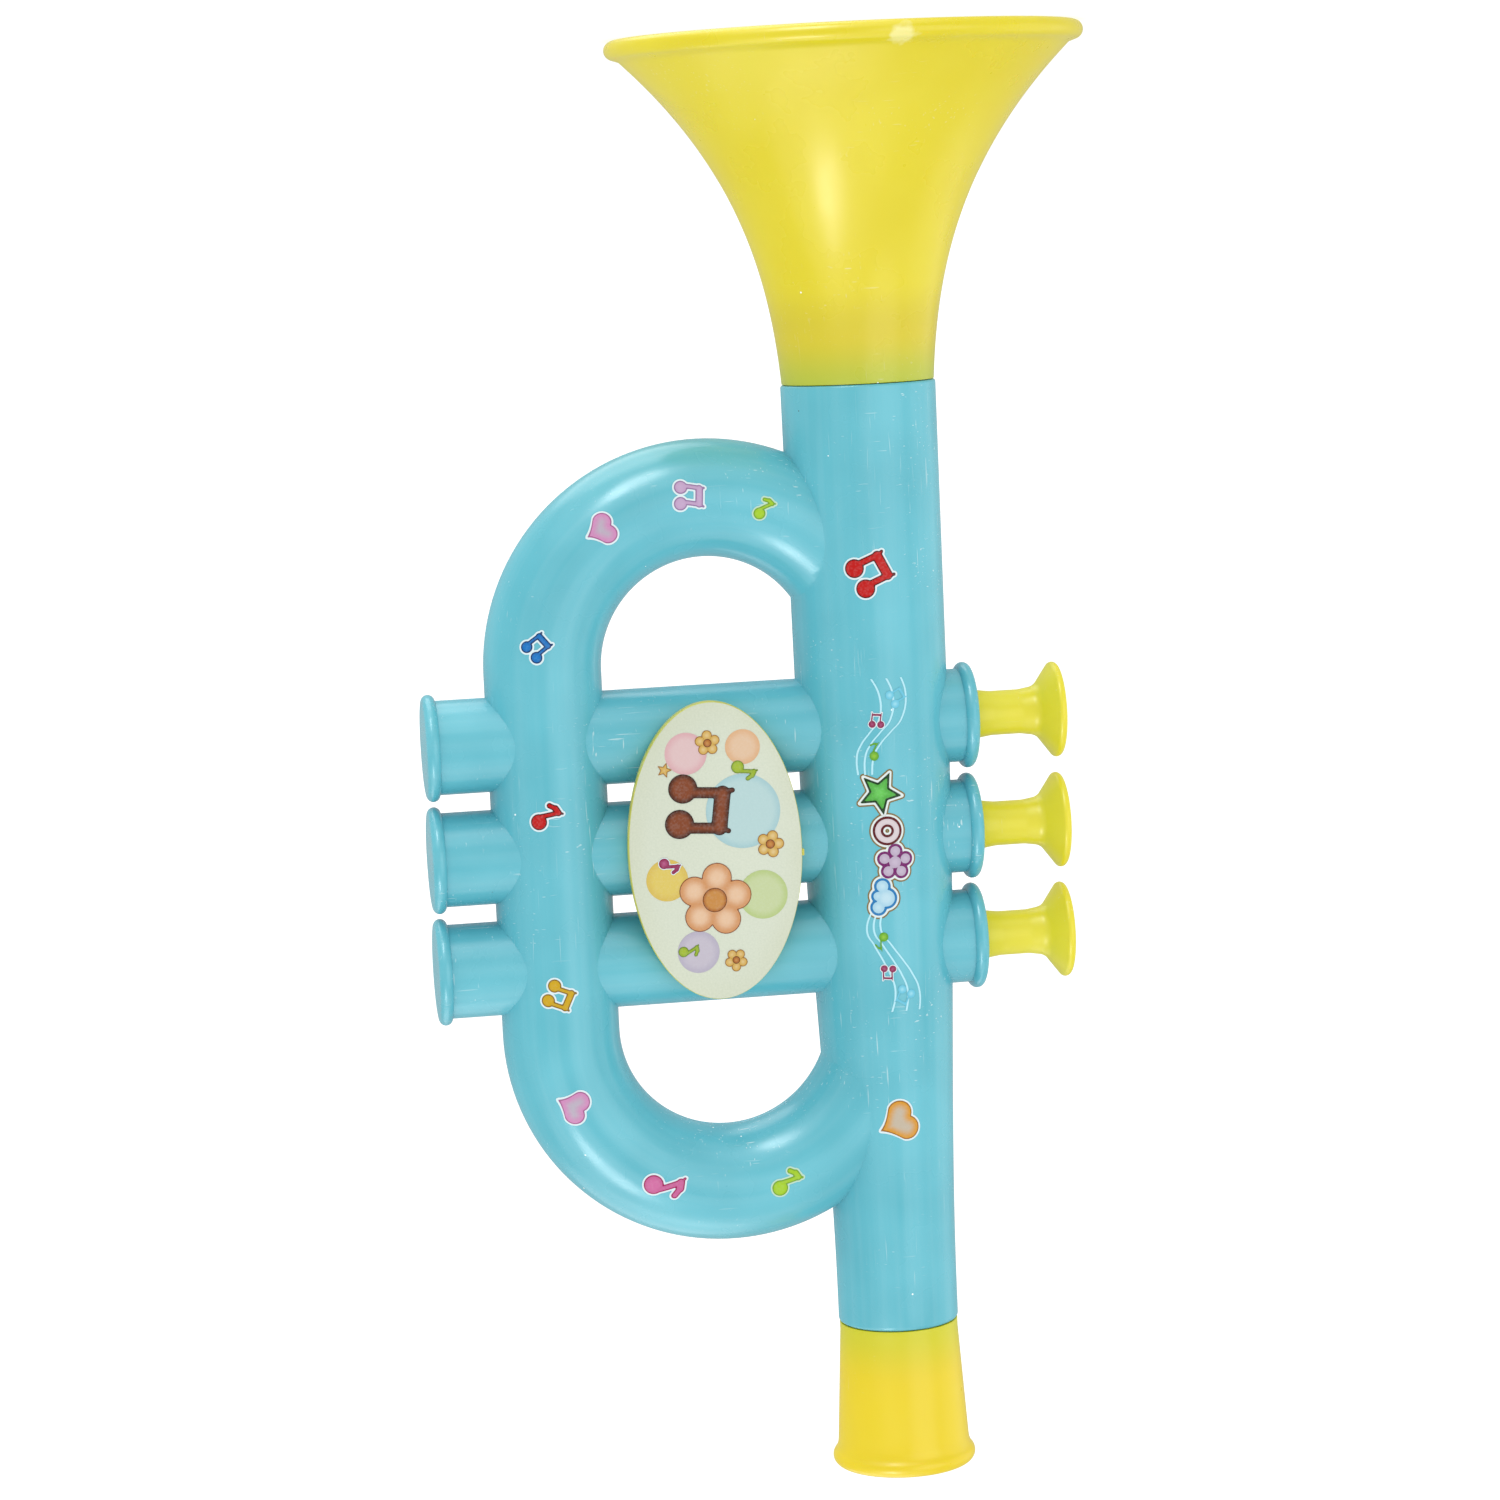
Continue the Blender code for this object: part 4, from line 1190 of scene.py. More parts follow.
@dataclass
class Bell:
    """The yellow bell: a flare with a beaded rim, and a spigot in the main tube."""

    plan: BodyPlan
    finish: MouldedPlastic
    length: float = 59.5
    rim_r: float = 40.8
    bead_r: float = 1.6
    crease_deg: float = 75.0
    land: float = 2.0
    wall: float = 1.5
    neck_step: float = 0.25
    flare_overrun: float = 1.5
    flare_share: float = 0.73
    flare_power: float = 3.15
    spigot_length: float = 10.0
    spigot_wall: float = 1.5
    spigot_edge: float = 0.5
    step_edge: float = 0.2
    edge: float = 0.15
    shoulder: float = 2.0
    shoulder_gap: float = 0.2
    land_gap: float = 0.6
    sides: int = 160
    rows: int = 70
    row_power: float = 1.3
    bead_steps: int = 16

    def flare_radius(self, height: float) -> float:
        """Returns the outer radius at a height, on a horn curve from the rim to the neck.

        Args:
            height: the height above the rim.

        Returns:
            The radius.
        """
        neck = self.plan.start_r - self.neck_step
        mouth = self.rim_r + self.flare_overrun
        tail = (1.0 - self.flare_share) ** self.flare_power
        share = (1.0 - self.flare_share * height / self.length) ** self.flare_power
        return neck + (mouth - neck) * (share - tail) / (1.0 - tail)

    def flare(self, depth: float, low: float, high: float) -> Profile:
        """Returns the curve that lies a depth inside the flare, from the top down.

        Args:
            depth: how far inside.
            low: the height that the curve stays above.
            high: the height that it stays below.

        Returns:
            The curve's points.
        """
        points: Profile = []
        for step in range(self.rows + 1):
            height = self.length * (1.0 - step / self.rows) ** self.row_power
            slope = self.flare_radius(height + 0.5) - self.flare_radius(height - 0.5)
            length = math.hypot(1.0, slope)
            place = height + depth * slope / length
            if low < place < high:
                points.append((self.flare_radius(height) - depth / length, place))
        return points

    def build(self) -> None:
        """Makes the bell, dresses it and hands it to the frame."""
        spigot = self.plan.start_r - self.plan.wall - self.plan.fit
        bore = spigot - self.spigot_wall
        top = self.length + self.spigot_length
        neck = self.flare_radius(self.length)
        bead = self.rim_r - self.bead_r
        shoulder = self.length - self.shoulder
        corners = [
            (bore, top, self.edge),
            (spigot, top, self.spigot_edge),
            (spigot, self.length, self.step_edge),
            (neck, self.length, self.edge),
            (self.flare_radius(shoulder), shoulder, 0.0),
        ]
        profile = rounded(corners, closed=False)
        profile += self.flare(0.0, 2 * self.bead_r, shoulder - self.shoulder_gap)
        profile += arc((bead, self.bead_r), self.bead_r, self.crease_deg, -90, self.bead_steps)
        land = bead - self.land
        profile.append((land, 0.0))
        inner = self.flare(self.wall, 0.0, self.length - 2 * self.wall)
        profile += [point for point in reversed(inner) if point[0] < land - self.land_gap]
        profile.append((bore, self.length))
        bell = self.plan.solid("bell_moulding", turned(profile, self.sides, True))
        finish_piece(bell, self.finish.material(), nodes=["bell"])


@dataclass
class Mouthpiece:
    """The yellow mouthpiece: a cup with a beaded rim, and a spigot that holds the reed."""

    plan: BodyPlan
    finish: MouldedPlastic
    base: float = 224.24
    length: float = 25.76
    base_r: float = 10.35
    lip_r: float = 11.5
    rim_r: float = 12.55
    bead_r: float = 1.6
    crease_deg: float = 35.0
    cup_depth: float = 11.0
    cup_wall: float = 2.3
    throat_r: float = 3.2
    throat_length: float = 7.0
    seat_wall: float = 2.3
    spigot_length: float = 10.0
    lip_drop: float = 2.9
    bend_drop: float = 2.0
    bend_bulge: float = 0.1
    foot_rise: float = 1.5
    base_land: float = 1.2
    cup_lip: float = 0.6
    throat_gap: float = 0.5
    bead_steps: int = 14
    bend_steps: int = 6
    side_steps: int = 12
    cup_steps: int = 19
    sides: int = 112

    def build(self) -> None:
        """Makes the mouthpiece, dresses it and hands it to the frame."""
        top = self.base + self.length
        spigot = float(self.plan.tube_radius(self.plan.end)) - self.plan.wall - self.plan.fit
        seat = spigot - self.seat_wall
        end = self.base - self.spigot_length
        floor = top - self.cup_depth
        throat_end = floor - self.throat_length
        cup_r = self.rim_r - self.cup_wall
        bead = (self.rim_r - self.bead_r, top - self.bead_r)
        profile = arc(bead, self.bead_r, 90, -self.crease_deg, self.bead_steps)
        lip = (self.lip_r, top - self.lip_drop * self.bead_r)
        foot = (self.base_r, self.base + self.foot_rise)
        bend = (self.lip_r + self.bend_bulge, top - self.bend_drop * self.bead_r)
        profile += eased(profile[-1], bend, lip, self.bend_steps)[1:]
        halfway = ((lip[0] + foot[0]) / 2, (lip[1] + foot[1]) / 2)
        profile += eased(lip, halfway, foot, self.side_steps)[1:]
        corners = [
            (self.base_r, self.base + self.base_land, 0.0),
            (self.base_r, self.base, 0.1),
            (spigot, self.base, 0.2),
            (spigot, end, 0.5),
            (seat, end, 0.2),
            (seat, throat_end - (seat - self.throat_r), 0.3),
            (self.throat_r, throat_end, 0.5),
            (self.throat_r, floor - self.throat_gap, 0.0),
        ]
        profile += rounded(corners, closed=False)
        rise = self.cup_depth - self.cup_lip
        for angle in np.linspace(0.0, math.pi / 2, self.cup_steps + 1):
            across = self.throat_r + (cup_r - self.throat_r) * math.sin(angle)
            profile.append((across, floor + rise * (1.0 - math.cos(angle))))
        piece = self.plan.solid("mouthpiece_moulding", turned(profile, self.sides, True))
        finish_piece(piece, self.finish.material(), nodes=["mouthpiece"])


@dataclass
class Valves:
    """The three yellow buttons, and the steel springs that push them out."""

    plan: BodyPlan
    finish: MouldedPlastic
    wire: DrawnSteel
    stem_r: float = 4.2
    waist_r: float = 3.85
    stem_shown: float = 11.3
    waist_ends: Pair = (0.3, 0.75)
    root_end: float = 0.08
    neck_step: float = 0.1
    head_r: float = 8.3
    head_cone: float = 3.4
    head_edge: float = 0.8
    under_inset: float = 0.65
    under_drop: float = 0.85
    head_dome: float = 0.7
    dome_share: float = 0.86
    dome_drop: float = 0.1
    dome_rows: int = 12
    piston_floor: float = 2.0
    skirt_length: float = 5.0
    skirt_wall: float = 1.2
    sides: int = 96
    seat_x: float = -16.85
    travel: float = 6.0
    coil_r: float = 3.6
    wire_r: float = 0.4
    turns: int = 6
    turn_points: int = 40
    wire_sides: int = 14
    closed_pitch: float = 2.1

    def build(self) -> None:
        """Makes each button and its spring, dresses them and hands them to the frame."""
        plastic = self.finish.material()
        steel = self.wire.material()
        for index, height in enumerate(self.plan.valve_heights, start=1):
            self.button(index, height, plastic)
            self.spring(index, height, steel)

    def button(self, index: int, height: float, material: bpy.types.Material) -> None:
        """Makes one button.

        Args:
            index: its number, from the bell's end.
            height: the height of its axis.
            material: its finish.
        """
        plan = self.plan
        rim = self.stem_shown + self.head_cone
        piston = -plan.wall - plan.fit
        skirt = plan.valve_r - plan.wall - plan.fit
        crown = rim + self.head_edge
        shares = np.linspace(0.0, self.dome_share, self.dome_rows).tolist()
        dome = [crown + self.head_dome * (1.0 - share**2) - self.dome_drop for share in shares]
        profile = [(self.head_r * share, rise) for share, rise in zip(shares, dome)]
        profile += arc((self.head_r - self.head_edge, rim), self.head_edge, 80, -50, 8)
        waist_low, waist_high = (share * self.stem_shown for share in self.waist_ends)
        corners = [
            (self.head_r - self.under_inset, rim - self.under_drop, 0.0),
            (self.stem_r + self.neck_step, self.stem_shown, 2.4),
            (self.waist_r, waist_high, 6.0),
            (self.waist_r, waist_low, 6.0),
            (self.stem_r, self.root_end * self.stem_shown, 2.0),
            (self.stem_r, piston, 0.2),
            (skirt, piston, 0.3),
            (skirt, piston - self.skirt_length, 0.25),
            (skirt - self.skirt_wall, piston - self.skirt_length, 0.25),
            (skirt - self.skirt_wall, piston - self.piston_floor, 0.3),
            (0.0, piston - self.piston_floor, 0.0),
        ]
        profile += rounded(corners, closed=False, steps=7)[1:]
        points, faces = turned(profile, self.sides, False)
        place = Matrix.Translation((plan.axis_x - plan.collar_reach, 0.0, height))
        place = place @ Matrix.Rotation(-math.pi / 2, 4, "Y")
        button = new_object(f"valve_button_moulding_{index}", (moved(points, place), faces))
        node = f"valve_button_{index}"
        finish_piece(button, material, body=f"button_{index}", nodes=[node])

    def spring(self, index: int, height: float, material: bpy.types.Material) -> None:
        """Makes one coil spring with a closed turn at each end.

        Args:
            index: its number, from the bell's end.
            height: the height of its axis.
            material: its finish.
        """
        plan = self.plan
        piston_x = plan.axis_x - plan.collar_reach + plan.wall + self.piston_floor + 2 * plan.fit
        length = self.seat_x - piston_x
        rule = ShapeRule(
            "coil_spring",
            {
                "Coil Radius": self.coil_r * MM,
                "Wire Radius": self.wire_r * MM,
                "Length": length * MM,
                "Turns": float(self.turns),
                "Points": self.turns * self.turn_points + 1,
                "Sides": self.wire_sides,
                "Material": material,
            },
        )
        given = rule.given
        line = rule.add(Kind.LINE, None, (0.0, 0.0, 1.0))
        steps = rule.add(Kind.RESAMPLE, line, None, given["Points"])
        share = rule.add(Kind.SPLINE_SHARE)
        angle = rule.add(Kind.MULTIPLY, rule.add(Kind.MULTIPLY, share, given["Turns"]), 2 * math.pi)
        end = rule.add(Kind.DIVIDE, 1.0, given["Turns"])
        last = rule.add(Kind.SUBTRACT, 1.0, end)
        closed = rule.add(Kind.MULTIPLY, given["Wire Radius"], self.closed_pitch)
        inner = rule.add(Kind.SUBTRACT, given["Length"], rule.add(Kind.MULTIPLY, given["Wire Radius"], 2.0))
        free = rule.add(Kind.SUBTRACT, inner, rule.add(Kind.MULTIPLY, closed, 2.0))
        rise = given["Wire Radius"]
        for low, high, size in ((0.0, end, closed), (end, last, free), (last, 1.0, closed)):
            rise = rule.add(Kind.ADD, rise, rule.add(Kind.RANGE, share, low, high, None, size))
        turned_x = rule.add(Kind.MULTIPLY, given["Coil Radius"], rule.add(Kind.COSINE, angle))
        turned_y = rule.add(Kind.MULTIPLY, given["Coil Radius"], rule.add(Kind.SINE, angle))
        place = rule.add(Kind.COMBINE, turned_x, turned_y, rise)
        coil = rule.add(Kind.SET_POSITION, steps, None, place)
        rule.close(rule.tube(coil, given["Wire Radius"], given["Sides"]))
        spring = new_object(f"valve_spring_coil_{index}", (np.zeros((1, 3)), []))
        rule.run(spring)
        place = Matrix.Translation((self.seat_x * MM, 0.0, height * MM))
        spring.data.transform(place @ Matrix.Rotation(-math.pi / 2, 4, "Y"))
        finish_piece(spring, material, nodes=[f"valve_spring_{index}"], sharp_deg=60.0)
        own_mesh(spring)


@dataclass
class Plaque:
    """The yellow oval plaque on its two pegs, and the paper label on its face."""

    plan: BodyPlan
    finish: MouldedPlastic
    paper: CoatedPaper
    width: float = 29.9
    height: float = 51.3
    thickness: float = 2.2
    edge: float = 0.25
    peg_r: float = 1.5
    peg_length: float = 3.6
    label_margin: float = 0.14
    label_thickness: float = 0.2
    label_glue: float = 0.05
    gate_height: float = 138.9
    gate_size: Pair = (0.4, 1.1)
    gate_root: float = 1.0
    gate_inset: float = 0.5
    edge_steps: int = 5
    label_edge: float = 0.04
    label_edge_steps: int = 2
    peg_sides: int = 32
    sides: int = 160

    @property
    def face(self) -> float:
        """How far the plaque's face stands in front of the seam plane."""
        return self.plan.valve_r + self.plan.fit + self.thickness

    @property
    def label_face(self) -> float:
        """How far the label's face stands in front of the seam plane."""
        return self.face + self.label_glue + self.label_thickness

    @property
    def middle(self) -> Pair:
        """The middle of the oval in X and Z."""
        return self.plan.axis_x + self.plan.window_middle, self.plan.loop_middle

    def plate(
        self, width: float, height: float, back: float, front: float, edge: float, steps: int
    ) -> Form:
        """Returns an oval plate that stands in front of the seam plane.

        Args:
            width: its size in X.
            height: its size in Z.
            back: how far its back lies in front of the seam plane.
            front: how far its face does.
            edge: the radius of its rounded edges.
            steps: how many chords an edge has.

        Returns:
            Points and faces.
        """
        angles = 2 * np.pi * np.arange(self.sides) / self.sides
        across, along = width / 2 * np.cos(angles), height / 2 * np.sin(angles)
        normal = np.column_stack([np.cos(angles) / width, np.sin(angles) / height])
        normal /= np.linalg.norm(normal, axis=1, keepdims=True)
        turns = np.linspace(0.0, np.pi / 2, steps + 1)
        rows = [(edge * (1 - math.sin(t)), back + edge * (1 - math.cos(t))) for t in turns]
        rows += [(inset, front + back - depth) for inset, depth in reversed(rows)]
        points = []
        for inset, depth in rows:
            x = self.middle[0] + across - inset * normal[:, 0]
            z = self.middle[1] + along - inset * normal[:, 1]
            points.append(np.column_stack([x, np.full(self.sides, -depth), z]))
        faces: list[tuple[int, ...]] = []
        for row in range(len(rows) - 1):
            for side in range(self.sides):
                far = (side + 1) % self.sides
                low, high = row * self.sides, (row + 1) * self.sides
                faces.append((low + side, low + far, high + far, high + side))
        faces.append(tuple(reversed(range(self.sides))))
        faces.append(tuple(range((len(rows) - 1) * self.sides, len(rows) * self.sides)))
        return np.vstack(points), faces

    def build(self) -> None:
        """Makes the plaque and the label, dresses them and hands them to the frame."""
        plan = self.plan
        back = plan.valve_r + plan.fit
        oval = self.plate(self.width, self.height, back, self.face, self.edge, self.edge_steps)
        plaque = new_object("plaque_moulding", oval)
        x = self.middle[0]
        for height in plan.valve_heights[::2]:
            root = (x, -back - self.thickness / 2, height)
            tip = (x, self.peg_length - plan.valve_r, height)
            combine(plaque, new_object("peg", cylinder(self.peg_r, root, tip, self.peg_sides)), Join.ADD)
        rise = (self.gate_height - plan.loop_middle) / (self.height / 2)
        rim = x - self.width / 2 * math.sqrt(1 - rise * rise)
        deep, tall = self.gate_size
        low = (rim - deep, self.gate_inset - self.face, self.gate_height - tall / 2)
        high = (rim + self.gate_root, -back - self.gate_inset, self.gate_height + tall / 2)
        combine(plaque, new_object("gate", block(low, high)), Join.ADD)
        finish_piece(plaque, self.finish.material(), nodes=["plaque"])
        sheet = self.plate(
            self.width - 2 * self.label_margin,
            self.height - 2 * self.label_margin,
            self.face + self.label_glue,
            self.label_face,
            self.label_edge,
            self.label_edge_steps,
        )
        label = new_object("label_paper_sheet", sheet)
        finish_piece(label, self.paper.material(), nodes=["label"])


@dataclass(frozen=True)
class Layer:
    """One layer of a print: how far it reaches past the motif's outline, and its colours."""

    reach: float
    edge: str
    middle: str
    fade: float = 0.9


WHITE_LINE = Layer(0.3, "#CFDFE3", "#CFDFE3")
PALE_LINE = Layer(0.26, "#B4D2BC", "#B4D2BC")
TAN_LINE = Layer(0.6, "#7C6634", "#7C6634")
WIDE_LINE = Layer(0.34, "#D2DCDA", "#D2DCDA")
BADGE_LINES = (TAN_LINE, WIDE_LINE)


def outlined(
    lines: tuple[Layer, ...], dark: str, edge: str, middle: str, fade: float = 0.5, rim: float = 0.2
) -> tuple[Layer, ...]:
    """Returns the layers of a motif with a dark rim, on top of its outer lines.

    Args:
        lines: the outer lines, from the bottom one up.
        dark: the rim's colour.
        edge: the filling's colour beside the rim.
        middle: its colour further in.
        fade: how far in that is.
        rim: the rim's width.

    Returns:
        The layers, from the bottom one up.
    """
    return (*lines, Layer(0.0, dark, dark), Layer(-rim, edge, middle, fade))


class Inks(Enum):
    """Sets of layers, from the bottom one up."""

    PINK = outlined((WHITE_LINE,), "#9A5884", "#C17EAD", "#ADA3B2", 1.7)
    ORANGE = outlined((WHITE_LINE,), "#946018", "#CA8C21", "#B7AA96", 1.7)
    RED = outlined((WHITE_LINE,), "#500505", "#B00A06", "#B40C08")
    MAUVE = outlined((WHITE_LINE,), "#8C6C96", "#B292B6", "#B79BBC")
    BLUE = outlined((WHITE_LINE,), "#082C60", "#0C62A8", "#1470B8")
    GREEN = outlined((PALE_LINE,), "#6E9A20", "#94BA22", "#9BC127")
    MUSTARD = outlined((WHITE_LINE,), "#82600A", "#BB960E", "#C19B12")
    MAGENTA = outlined((WHITE_LINE,), "#960A50", "#B8588A", "#C16596", 0.9)
    SKY_MARK = (Layer(0.0, "#5FB6CE", "#96D0DE"),)
    ROSE_MARK = (Layer(0.14, "#CFDFE3", "#CFDFE3"), Layer(0.0, "#801A46", "#A8507A"))
    LEAF_MARK = (Layer(0.0, "#5A9A22", "#8CBC34"),)
    LEAF_BADGE = outlined(BADGE_LINES, "#173A17", "#4AA03C", "#63BC54", 1.2, 0.36)
    WINE_BADGE = outlined(BADGE_LINES, "#580A10", "#C4B8BC", "#CEC6C9", 0.7, 0.42)
    VIOLET_BADGE = outlined(BADGE_LINES, "#6C1460", "#AC9CB2", "#B8AABE", 1.0, 0.42)
    SKY_BADGE = outlined(BADGE_LINES, "#1E72AC", "#9CC4D6", "#B2D0DC", 1.0, 0.42)
    AMBER_SPOT = (Layer(0.0, "#C6AC50", "#CCB75B", 1.5),)
    PEACH_SPOT = (Layer(0.0, "#CCA27A", "#D0B294", 1.5),)
    SKY_SPOT = (Layer(0.0, "#98BABE", "#A8C4C4", 1.5),)
    LIME_SPOT = (Layer(0.0, "#A8BA7A", "#B6C394", 1.5),)
    ROSE_SPOT = (Layer(0.0, "#C89EA2", "#CCB0B0", 1.5),)
    LILAC_SPOT = (Layer(0.0, "#A8A2B2", "#B4AEBA", 1.5),)
    BROWN = outlined((), "#2A140C", "#4A2414", "#7A3E20", 0.9, 0.14)
    APRICOT = outlined((), "#7E4420", "#C08858", "#D4B292", 1.8, 0.14)
    GOLD = outlined((), "#94662C", "#C09A48", "#CEB57E", 0.8, 0.14)
    HONEY = outlined((), "#6A3A12", "#9E5E24", "#B8803F", 0.6, 0.14)
    LEAF = outlined((), "#66801C", "#86A024", "#96AC2E", 0.5, 0.14)


@dataclass(frozen=True)
class Print:
    """One printed motif: what, how large, where and which way up.

    The place is a length along the carrier and an angle round it. On the flat label both are
    lengths from its middle, up and to the right. The turn is the angle of the motif's top,
    from the way round towards the way along.
    """

    motif: Motif
    inks: Inks
    size: float
    along: float
    around: float
    turn: float
    mirrored: bool = False
    level: int = 0
    stroke: float = 1.0


# Rounds that a motif is drawn with (across, up, radius), in the motif's own unit
PETALS = [(0.6 * math.sin(turn), 0.6 * math.cos(turn), 0.4) for turn in np.arange(5) * 2 * math.pi / 5]
BLOBS = {
    Motif.DISC: [(0.0, 0.0, 1.0)],
    Motif.FLOWER: [*PETALS, (0.0, 0.0, 0.45)],
    Motif.CLOUD: [(-0.55, -0.15, 0.42), (0.0, 0.18, 0.55), (0.55, -0.1, 0.42), (0.0, -0.25, 0.35)],
    Motif.SINGLE_NOTE: [(0.0, 0.0, 1.0)],
    Motif.DOUBLE_NOTE: [(-1.22, 0.0, 1.0), (1.22, 0.0, 1.0)],
}
# Strokes of the notes (start, end, half width)
STROKES = {
    Motif.SINGLE_NOTE: [
        ((0.55, 0.4), (0.2, 2.65), 0.33),
        ((0.2, 2.65), (0.85, 2.5), 0.42),
        ((0.85, 2.5), (1.45, 1.95), 0.34),
        ((0.2, 2.65), (-0.1, 3.1), 0.15),
    ],
    Motif.DOUBLE_NOTE: [
        ((-1.1, 2.75), (1.2, 2.75), 0.56),
        ((-1.0, 0.4), (-1.17, 2.8), 0.38),
        ((1.44, 0.4), (1.27, 2.8), 0.38),
        ((-1.22, 2.8), (-1.403, 3.4), 0.18),
        ((1.22, 2.8), (1.403, 3.4), 0.18),
    ],
}
BOXES = {
    Motif.SINGLE_NOTE: (-1.1, 2.1, -1.1, 3.7),
    Motif.DOUBLE_NOTE: (-2.4, 2.4, -1.1, 3.7),
    Motif.HEART: (-1.05, 1.05, -1.0, 1.1),
}
ROUND_BOX = (-1.1, 1.1, -1.1, 1.1)
RING_MIDDLE = 0.64
RING_HALF_WIDTH = 0.36
STAR_NOTCH = 0.46


def capsule(x: np.ndarray, y: np.ndarray, start: tuple, end: tuple, radius: float) -> np.ndarray:
    """Returns the distance to a round-ended stroke.

    Args:
        x: places across.
        y: places up.
        start: one end of the stroke.
        end: its other end.
        radius: half its width.

    Returns:
        Distances, negative inside.
    """
    dx, dy = end[0] - start[0], end[1] - start[1]
    share = np.clip(((x - start[0]) * dx + (y - start[1]) * dy) / (dx * dx + dy * dy), 0.0, 1.0)
    return np.hypot(x - start[0] - share * dx, y - start[1] - share * dy) - radius


def motif_distance(motif: Motif, x: np.ndarray, y: np.ndarray, stroke: float) -> np.ndarray:
    """Returns the distance to a motif's outline, in the motif's own unit.

    Args:
        motif: which one. A heart is 2 wide, a note's head has radius 1, the rest have radius 1.
        x: places across.
        y: places up.
        stroke: how bold a note's strokes are.

    Returns:
        Distances, negative inside.
    """
    if motif is Motif.RING:
        return np.abs(np.hypot(x, y) - RING_MIDDLE) - RING_HALF_WIDTH
    if motif is Motif.HEART:
        unit = 0.6036
        p, q = np.abs(x) * unit, y * unit + 0.52
        p = p + 0.07 * np.clip(1.0 - ((q - 0.25) / 0.25) ** 2, 0.0, 1.0)
        lobe = np.hypot(p - 0.25, q - 0.75) - math.sqrt(2) / 4
        fold = 0.5 * np.maximum(p + q, 0.0)
        flank = np.minimum(np.hypot(p, q - 1.0), np.hypot(p - fold, q - fold)) * np.sign(p - q)
        return np.where(p + q > 1.0, lobe, flank) / unit
    if motif is Motif.STAR:
        sector = 2 * math.pi / 5
        angle = np.abs(np.mod(np.arctan2(x, y) + sector / 2, sector) - sector / 2)
        out = np.hypot(x, y)
        p, q = out * np.sin(angle), out * np.cos(angle)
        tip = (0.0, 1.0)
        notch = (STAR_NOTCH * math.sin(sector / 2), STAR_NOTCH * math.cos(sector / 2))
        edge = capsule(p, q, tip, notch, 0.0)
        side = (notch[0] - tip[0]) * (q - tip[1]) - (notch[1] - tip[1]) * (p - tip[0])
        return edge * np.where(side > 0, 1.0, -1.0)
    parts = [np.hypot(x - across, y - up) - radius for across, up, radius in BLOBS[motif]]
    for start, end, radius in STROKES.get(motif, ()):
        parts.append(capsule(x, y, start, end, radius * stroke))
    return np.min(parts, axis=0)


def region(values: np.ndarray) -> tuple[np.ndarray, list[tuple[int, ...]]]:
    """Meshes the part of a grid where the values aren't above 0.

    Args:
        values: one value for each point of the grid.

    Returns:
        Points in grid steps, and faces that end on the line where the values cross 0.
    """
    points: list[Pair] = []
    index: dict[tuple, int] = {}
    faces: list[tuple[int, ...]] = []

    def point(key: tuple, place: Pair) -> int:
        """Returns the number of a point, which is new if its key is.

        Args:
            key: the grid point, or the two that it lies between.
            place: where it is.

        Returns:
            Its number.
        """
        if key not in index:
            index[key] = len(points)
            points.append(place)
        return index[key]

    filled = values <= 0
    cells = filled[:-1, :-1] | filled[1:, :-1] | filled[1:, 1:] | filled[:-1, 1:]
    for i, j in zip(*np.nonzero(cells)):
        corners = [(i, j), (i + 1, j), (i + 1, j + 1), (i, j + 1)]
        ring = []
        for here, after in zip(corners, corners[1:] + corners[:1]):
            if filled[here]:
                ring.append(point(here, here))
            if filled[here] != filled[after]:
                share = values[here] / (values[here] - values[after])
                key = (min(here, after), max(here, after))
                place = tuple(a + share * (b - a) for a, b in zip(here, after))
                ring.append(point(key, place))
        faces.append(tuple(ring))
    return np.array(points, dtype=float), faces


class Carrier(Enum):
    """Surfaces that carry prints."""

    TUBE = "main tube"
    LOOP = "loop"
    LABEL = "label"


@dataclass
class PrintPlaces:
    """Lays a print's own lengths on the surface that carries it."""

    plan: BodyPlan
    plaque: Plaque

    def on(
        self, carrier: Carrier, item: Print, along: np.ndarray, around: np.ndarray, lift: float
    ) -> np.ndarray:
        """Returns a print's points on its carrier.

        Args:
            carrier: the surface.
            item: the print, which says where its middle is.
            along: lengths from its middle along the tube or the loop, or up the label.
            around: lengths from its middle round the tube or the loop, or to the label's right.
            lift: how far the ink stands off the surface.

        Returns:
            Points in the model's frame.
        """
        plan = self.plan
        if carrier is Carrier.LABEL:
            x, z = self.plaque.middle
            depth = np.full_like(along, -self.plaque.label_face - lift)
            return np.column_stack([x + item.around + around, depth, z + item.along + along])
        middle = math.radians(item.around)
        if carrier is Carrier.TUBE:
            height = item.along + along
            angle = middle + around / plan.tube_radius(height)
            out = plan.tube_radius(height) + lift
            return np.column_stack([plan.axis_x + out * np.sin(angle), -out * np.cos(angle), height])
        angle = middle + around / plan.loop_r
        half = plan.leg_straight / 2
        if abs(item.along) > half:
            # A print on a bend keeps its true size
            along = along * (plan.bend_r / (plan.bend_r + plan.loop_r * np.sin(angle)))
        way = item.along + along
        turn = np.maximum(np.abs(way) - half, 0.0) / plan.bend_r
        out = (plan.loop_r + lift) * np.sin(angle)
        across = plan.bend_r + (plan.bend_r + out) * np.cos(turn)
        rise = np.clip(way, -half, half) + np.sign(way) * (plan.bend_r + out) * np.sin(turn)
        depth = -(plan.loop_r + lift) * np.cos(angle)
        return np.column_stack([plan.axis_x + across, depth, plan.loop_middle + rise])


